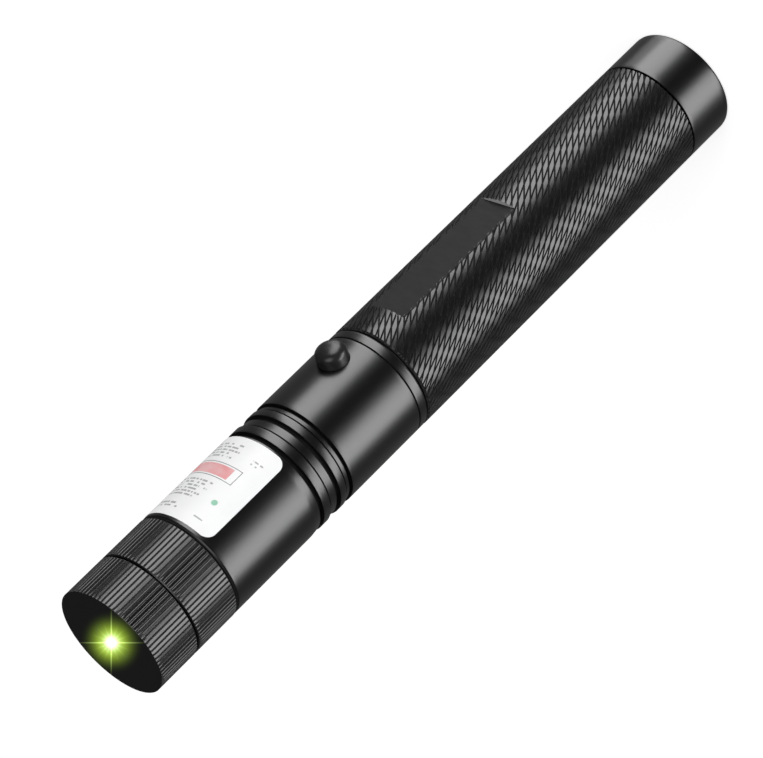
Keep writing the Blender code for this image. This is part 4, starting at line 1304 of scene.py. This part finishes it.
@dataclass
class BatteryTube:
    """Knurled tube with its milled flat."""

    radius: float = 0.0115
    bore: float = 0.0095
    seat: float = 0.0105
    seat_depth: float = 0.0053
    edge: float = 0.00014
    seam: float = 0.00030
    flat_depth: float = 0.00086
    flat_length: float = 0.0327
    flat_below_head: float = 0.0066
    cutter_reach: float = 0.002
    columns: int = 120
    squareness: float = 0.99
    knurl: Knurl = Knurl()

    def __post_init__(self) -> None:
        """Reads the tube's ends from its CAD node, and places the flat between them."""
        self.low, self.high = ends("battery_tube")
        self.flat_face = self.radius - self.flat_depth
        self.flat_high = self.high - self.flat_below_head
        self.flat_low = self.flat_high - self.flat_length

    def build(self) -> None:
        """Builds and dresses the tube."""
        tube = self.closed_skin()
        outer = self.radius + self.cutter_reach
        carve(tube, add_block("flat_cutter", (-self.radius, -outer, self.flat_low),
                              (self.radius, -self.flat_face, self.flat_high)))
        milled = self.paint(tube)
        dress(tube, FINISHES[Slot.ANODISED], Body.TUBE, Slot.ANODISED, "battery_tube")
        tube.data.polygons.foreach_set("use_smooth", ~milled)
        tube.data.update()

    def closed_skin(self) -> bpy.types.Object:
        """The knurled skin cut off level at both ends and joined to the turned ends and bore.

        Returns:
            The tube without its flat.
        """
        low, high = self.low + self.edge, self.high - self.seam
        # The knurl's groove share also sets the painted shade in its grooves.
        skin = add_surface("battery_tube_knurled", *self.knurl.skin(self.radius, low, high))
        outline = [(self.radius - self.seam, self.high), (self.seat, self.high),
                   (self.seat, self.high - self.seat_depth), (self.bore, self.high - self.seat_depth),
                   (self.bore, self.low + self.seat_depth), (self.seat, self.low + self.seat_depth),
                   (self.seat, self.low), (self.radius - self.edge - self.knurl.depth, self.low)]
        radius, height = np.array(outline).T[:, :, None]
        core = round_points(radius, even_angles(self.columns)[None, :], height)
        faces = grid_quads(len(outline), self.columns, rows_close=False)
        # Painted shade on the end face in the seam at the top.
        black = (height > self.high - WELD) & (radius > self.seat) & (radius < self.radius)
        liner = add_surface("liner", core, faces, np.repeat(black.ravel(), self.columns))
        bm = bmesh.new()
        bm.from_mesh(skin.data)
        for level, way in ((low, -1), (high, 1)):
            bmesh.ops.bisect_plane(bm, geom=bm.verts[:] + bm.edges[:] + bm.faces[:], dist=WELD,
                                   plane_co=(0, 0, level), plane_no=(0, 0, way), clear_outer=True)
        bm.from_mesh(liner.data)
        rims = [e for e in bm.edges if e.is_boundary]
        for top in (False, True):
            pair = [e for e in rims if (e.verts[0].co.z > (low + high) / 2) == top]
            bmesh.ops.bridge_loops(bm, edges=pair)
        bmesh.ops.recalc_face_normals(bm, faces=bm.faces)
        bm.to_mesh(skin.data)
        bm.free()
        bpy.data.objects.remove(liner)
        return skin

    def paint(self, tube: bpy.types.Object) -> Array:
        """Gives the milled face its own finish, and its end walls a pale grey that is a painted highlight.

        Args:
            tube: the carved tube.

        Returns:
            True for each milled polygon, which stays flat so that its edges are crisp.
        """
        mesh = tube.data
        mesh.materials.clear()
        for finish in (FINISHES[Slot.ANODISED], MILLED_FLAT, FLAT_WALL_HIGHLIGHT):
            mesh.materials.append(finish.material())
        centre, normal = np.zeros((2, len(mesh.polygons) * 3))
        mesh.polygons.foreach_get("center", centre)
        mesh.polygons.foreach_get("normal", normal)
        centre, normal = centre.reshape(-1, 3), normal.reshape(-1, 3)
        floor = (np.abs(centre[:, 1] + self.flat_face) < NEAR) & (normal[:, 1] < -self.squareness)
        ends_off = np.minimum(np.abs(centre[:, 2] - self.flat_low), np.abs(centre[:, 2] - self.flat_high))
        walls = (ends_off < NEAR) & (np.abs(normal[:, 2]) > self.squareness)
        # The end walls' pale grey is a painted highlight.
        mesh.polygons.foreach_set("material_index", (floor + 2 * walls).astype(np.int32))
        mesh.update()
        return floor | walls


@dataclass
class KeyLock:
    """Lock in the tail cap's face: a flanged barrel, and its plug with the keyway."""

    bore: float = 0.0037
    face: float = 0.0050
    flange: float = 0.0070
    flange_low: float = 0.0028
    flange_high: float = 0.0040
    case: float = 0.0055
    plug: float = 0.0034
    bezel: float = 0.0002
    plug_edge: float = 0.00015
    keyway: Triple = (0.00055, 0.0022, 0.0052)
    overrun: float = 0.001
    longest: float = 0.001

    def build(self) -> None:
        """Builds and dresses both pieces. The keyway is half its width, half its length and its inner end."""
        low, high = ends("lock_barrel")
        barrel = eased([(self.bore, low, self.bezel), (self.face, low, self.bezel),
                        (self.face, self.flange_low, 0), (self.flange, self.flange_low, EDGE),
                        (self.flange, self.flange_high, EDGE), (self.case, self.flange_high, 0),
                        (self.case, high, EDGE), (self.bore, high, EDGE)])
        barrel = add_turned("lock_barrel_turned", barrel, even_angles(ROUND_COLUMNS))
        dress(barrel, FINISHES[Slot.NICKEL], Body.TAIL, Slot.NICKEL, "lock_barrel")
        low, high = ends("lock_plug")
        core = eased([(0, low, 0), (self.plug, low, self.plug_edge), (self.plug, high, EDGE), (0, high, 0)])
        plug = add_turned("lock_plug_turned", refined(core, self.longest), even_angles(SMALL_COLUMNS))
        half_width, half_length, inner_end = self.keyway
        carve(plug, add_block("keyway_cutter", (-half_width, -half_length, -self.overrun),
                              (half_width, half_length, inner_end)))
        dress(plug, FINISHES[Slot.NICKEL], Body.LOCK, Slot.NICKEL, "lock_plug")


@dataclass
class Sticker:
    """Printed film on the head: a bent plate with rounded corners."""

    radius: float = 0.0115
    thickness: float = 0.00004
    length: float = 0.02108
    start: float = -42.5
    span: float = 150.0
    corner: float = 0.0020
    rows: int = 64
    columns: int = 120

    def __post_init__(self) -> None:
        """Reads the film's lower end from its CAD node."""
        self.low = ends("label")[0]
        self.high = self.low + self.length

    def build(self) -> None:
        """Builds and dresses the film.

        Along the barrel the rows lie closer together at both ends, z = mid - half cos(t). The film's half
        width is w - (c - sqrt(c^2 - (c - d)^2)), where the distance d to the nearer end is under c.
        """
        mid, half = (self.low + self.high) / 2, (self.high - self.low) / 2
        z = mid - half * np.cos(np.linspace(0, math.pi, self.rows))[:, None]
        width = math.radians(self.span) * self.radius / 2
        short = np.clip(self.corner - np.minimum(z - self.low, self.high - z), 0, self.corner)
        inset = self.corner - np.sqrt(self.corner ** 2 - short ** 2)
        across = (width - inset) * np.linspace(-1, 1, self.columns)[None, :]
        angle = math.radians(self.start + self.span / 2) + across / self.radius
        sides = [round_points(r, angle, z) for r in (self.radius, self.radius - self.thickness)]
        face = grid_quads(self.rows, self.columns, False, False)
        number = np.arange(self.rows * self.columns).reshape(self.rows, self.columns)
        rim = np.concatenate((number[0, :-1], number[:-1, -1], number[-1, :0:-1], number[:0:-1, 0]))
        after = np.roll(rim, -1)
        edge = np.stack((rim, rim + number.size, after + number.size, after), 1)
        quads = np.concatenate((face, face[:, ::-1] + number.size, edge))
        film = add_surface("label_film", np.concatenate(sides), quads)
        self.map_film(film.data)
        dress(film, LABEL_PRINT, Body.HEAD, Slot.LABEL, "label")

    def map_film(self, mesh: bpy.types.Mesh) -> None:
        """UV map in millimetres: U along the barrel from the low end, V round it from the start angle.

        Args:
            mesh: the film's mesh.
        """
        points = np.zeros(len(mesh.vertices) * 3)
        mesh.vertices.foreach_get("co", points)
        x, y, z = points.reshape(-1, 3).T
        round_it = (np.arctan2(x, -y) - math.radians(self.start)) * self.radius
        uv = np.stack((z - self.low, round_it), 1) * MILLIMETRES
        corners = np.zeros(len(mesh.loops), np.int32)
        mesh.loops.foreach_get("vertex_index", corners)
        mesh.uv_layers.new(name="film").data.foreach_set("uv", uv[corners].astype(np.float32).ravel())


@dataclass
class PushButton:
    """Domed button that stands proud of the head, held in by its flange."""

    radius: float = 0.00308
    flange_radius: float = 0.0037
    flange_thickness: float = 0.0010
    dome_rise: float = 0.0020
    fullness: float = 2.35
    foot_ease: float = 0.0002
    dome_points: int = 24

    def build(self) -> None:
        """Builds the button: a flange, a straight wall, and a dome (r / R)^p + (h / H)^p = 1."""
        low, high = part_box("switch_button")
        back, top = round(-high.y, 6), round(-low.y, 6)
        face = back + self.flange_thickness
        turn, power = np.linspace(0, math.pi / 2, self.dome_points), 2 / self.fullness
        height = top - self.dome_rise + self.dome_rise * np.sin(turn) ** power
        dome = np.stack((self.radius * np.cos(turn) ** power, height), 1)
        foot = eased([(0, back, 0), (self.flange_radius, back, EDGE), (self.flange_radius, face, EDGE),
                      (self.radius, face, self.foot_ease)])
        button = add_turned("push_button_domed", np.concatenate((foot, dome)), even_angles(SMALL_COLUMNS))
        face_button(button, sum(ends("switch_button")) / 2)
        dress(button, FINISHES[Slot.PLASTIC], Body.BUTTON, Slot.PLASTIC, "switch_button")


@dataclass
class FrontWindow:
    """Window behind the aperture with a boss in it, which shows the painted glow as emission."""

    radius: float = 0.0067
    thickness: float = 0.0013
    boss: float = 0.00397
    boss_recess: float = 0.00004
    longest: float = 0.0009

    def build(self) -> None:
        """Builds and dresses the window."""
        low = ends("front_window")[0]
        high, boss_top = low + self.thickness, ends("star_cap")[1] - self.boss_recess
        outline = eased([(0, low, 0), (self.radius, low, EDGE), (self.radius, high, EDGE),
                         (self.boss, high, 0), (self.boss, boss_top, FINE_EDGE), (0, boss_top, 0)])
        window = add_turned("front_window_lit", refined(outline, self.longest), even_angles(ROUND_COLUMNS))
        dress(window, LIT_WINDOW, Body.STAR, Slot.GLASS, "front_window")


# Studio


@dataclass(frozen=True)
class SoftBox:
    """Soft lamp that fills an angle, width by height, as seen from the object.

    Its azimuth is counted from the camera's side towards +X, and a radiance of 1 is white.
    """

    name: str
    azimuth: float
    elevation: float
    width: float
    height: float
    radiance: float
    roll: float = 0.0
    distance: float = 2.0

    def build(self, toward: Vector, target: Vector) -> None:
        """Hangs the lamp.

        Args:
            toward: level direction from the object to the camera.
            target: the point that it faces.
        """
        data = bpy.data.lights.new(self.name, "AREA")
        data.shape = "RECTANGLE"
        data.size = 2 * self.distance * math.tan(math.radians(self.width / 2))
        data.size_y = 2 * self.distance * math.tan(math.radians(self.height / 2))
        data.energy = self.radiance * math.pi * data.size * data.size_y
        lamp = bpy.data.objects.new(self.name, data)
        bpy.context.scene.collection.objects.link(lamp)
        a, e = math.radians(self.azimuth), math.radians(self.elevation)
        side = Vector((-toward.y, toward.x, 0))
        way = math.cos(e) * (math.cos(a) * toward + math.sin(a) * side) + Vector((0, 0, math.sin(e)))
        lamp.location = target + self.distance * way
        lamp.rotation_mode = "QUATERNION"
        lean = Quaternion((0, 0, 1), math.radians(self.roll))
        lamp.rotation_quaternion = way.to_track_quat("Z", "Y") @ lean
        lamp.visible_camera = False


@dataclass
class Studio:
    """Camera at the photograph's viewing angle, pale floor, soft lamps and a pale world."""

    eye: Triple = (-0.41584, -0.40175, 0.39363)
    forward: Triple = (0.63718, 0.61624, -0.46286)
    roll: float = -134.5742
    lens: float = 169.587
    sensor: float = 36.0
    clip: tuple[float, float] = (0.01, 50)
    toward: Triple = (-0.7193, -0.6947, 0.0)
    target: Triple = (0.0, 0.0, 0.0825)
    mirrored_near: float = 0.004
    mirrored_far: float = 0.165
    mirrored_above: float = 0.05
    mirrored_turn: tuple[float, float] = (-0.75, 0.25)
    mirrored_rise: tuple[float, float] = (-0.15, 0.10)
    soft_world: float = 0.30
    floor_reach: float = 20.0
    floor_height: float = -0.00005
    floor_grey: float = 0.80
    floor_light: float = 0.70
    floor_roughness: float = 0.9
    boxes: tuple[SoftBox, ...] = (SoftBox("streak_light_right", 56, -27, 31, 56, 3.85, 40),
                                  SoftBox("streak_light_left", -54, -27, 31, 56, 4.3, 40),
                                  SoftBox("tail_light", 99, -47, 28, 24, 1.7),
                                  SoftBox("key_light", 8, 52, 40, 40, 1.55))

    def build(self) -> None:
        """Sets up everything but the object."""
        bpy.context.scene.view_settings.view_transform = "Standard"
        self.add_camera()
        self.add_world()
        self.add_floor()
        for box in self.boxes:
            box.build(Vector(self.toward), Vector(self.target))

    def add_camera(self) -> None:
        """Camera fitted to the photograph: it looks forward, rolled about its own axis from upright."""
        data = bpy.data.cameras.new("camera")
        data.lens, data.sensor_width = self.lens, self.sensor
        data.clip_start, data.clip_end = self.clip
        camera = bpy.data.objects.new("camera", data)
        bpy.context.scene.collection.objects.link(camera)
        upright = Vector(self.forward).to_track_quat("-Z", "Y")
        turned = upright @ Quaternion((0, 0, 1), math.radians(self.roll))
        camera.matrix_world = Matrix.Translation(self.eye) @ turned.to_matrix().to_4x4()
        bpy.context.scene.camera = camera

    def add_world(self) -> None:
        """White where the camera looks past the floor, and dimmer as soft light and in gloss.

        In gloss the pale surroundings are brightest low down and away from the photograph's side, and the
        room on that side and above is nearly dark.
        """
        world = bpy.data.worlds.new("studio")
        world.use_nodes = True
        world.cycles.sampling_method = "NONE"
        bpy.context.scene.world = world
        painter = Painter(world.node_tree, "Background")
        path = painter.node("LightPath").outputs
        x, y, z = painter.node("SeparateXYZ", Vector=painter.node("TexCoord").outputs["Generated"]).outputs
        facing = painter.math("MULTIPLY_ADD", x, self.toward[0], painter.math("MULTIPLY", y, self.toward[1]))
        low = painter.step(facing, *self.mirrored_turn, self.mirrored_far, self.mirrored_near)
        height = painter.step(z, *self.mirrored_rise, 0.0, 1.0)
        glossy = painter.math("MAXIMUM", path["Is Glossy Ray"], path["Is Transmission Ray"])
        unseen = painter.blend(glossy, self.soft_world, painter.blend(height, low, self.mirrored_above))
        painter.own("Color", (1, 1, 1, 1))
        painter.own("Strength", painter.blend(path["Is Camera Ray"], unseen, 1.0))

    def add_floor(self) -> None:
        """Pale floor under the tail, which takes the shadow and lets the low lamps through."""
        reach, height = self.floor_reach, self.floor_height
        mesh = bpy.data.meshes.new("floor")
        mesh.from_pydata([(x, y, height) for x, y in ((-reach, -reach), (reach, -reach), (reach, reach),
                                                      (-reach, reach))], [], [(0, 1, 2, 3)])
        floor = bpy.data.objects.new("floor", mesh)
        bpy.context.scene.collection.objects.link(floor)
        material = add_material("pale floor")
        painter = Painter(material.node_tree)
        painter.own("Base Color", (self.floor_grey, self.floor_grey, self.floor_grey, 1))
        painter.own("Roughness", self.floor_roughness)
        painter.own("Specular IOR Level", 0.0)
        painter.own("Emission Color", (1, 1, 1, 1))
        seen = painter.node("LightPath").outputs["Is Camera Ray"]
        painter.own("Emission Strength", painter.math("MULTIPLY", seen, self.floor_light))
        mesh.materials.append(material)
        floor.visible_glossy = floor.visible_shadow = floor.visible_transmission = False


def dress_core(frame: dict) -> None:
    """Gives every CAD node that stays its finish by the record's slot.
    """
    for part in frame["record"]["subparts"]:
        node = frame["nodes"][part["node"]]
        if node.hide_render:
            continue
        material = FINISHES[Slot(part["material_slot"])].material()
        for place in node.material_slots:
            place.material = material
        LOG.info("%s: CAD node in %s", node.name, material.name)


def main() -> None:
    """Builds the pieces in order, dresses the CAD nodes that stay, and sets up the studio."""
    logging.basicConfig(level=logging.INFO, format="%(message)s")
    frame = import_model()
    for part in (BatteryTube(), TailCap(), KeyLock(), SealRing("tail_seal_ring", Body.TAIL_SEAL),
                 Head(), SealRing("neck_seal_ring", Body.NECK_SEAL), Sticker(), PushButton(),
                 FocusRing(), SealRing("focus_seal_ring", Body.FOCUS_SEAL),
                 PatternCap(), SealRing("star_seal_ring", Body.STAR_SEAL), FrontWindow()):
        part.build()
    dress_core(frame)
    Studio().build()


if __name__ == "__main__":
    main()
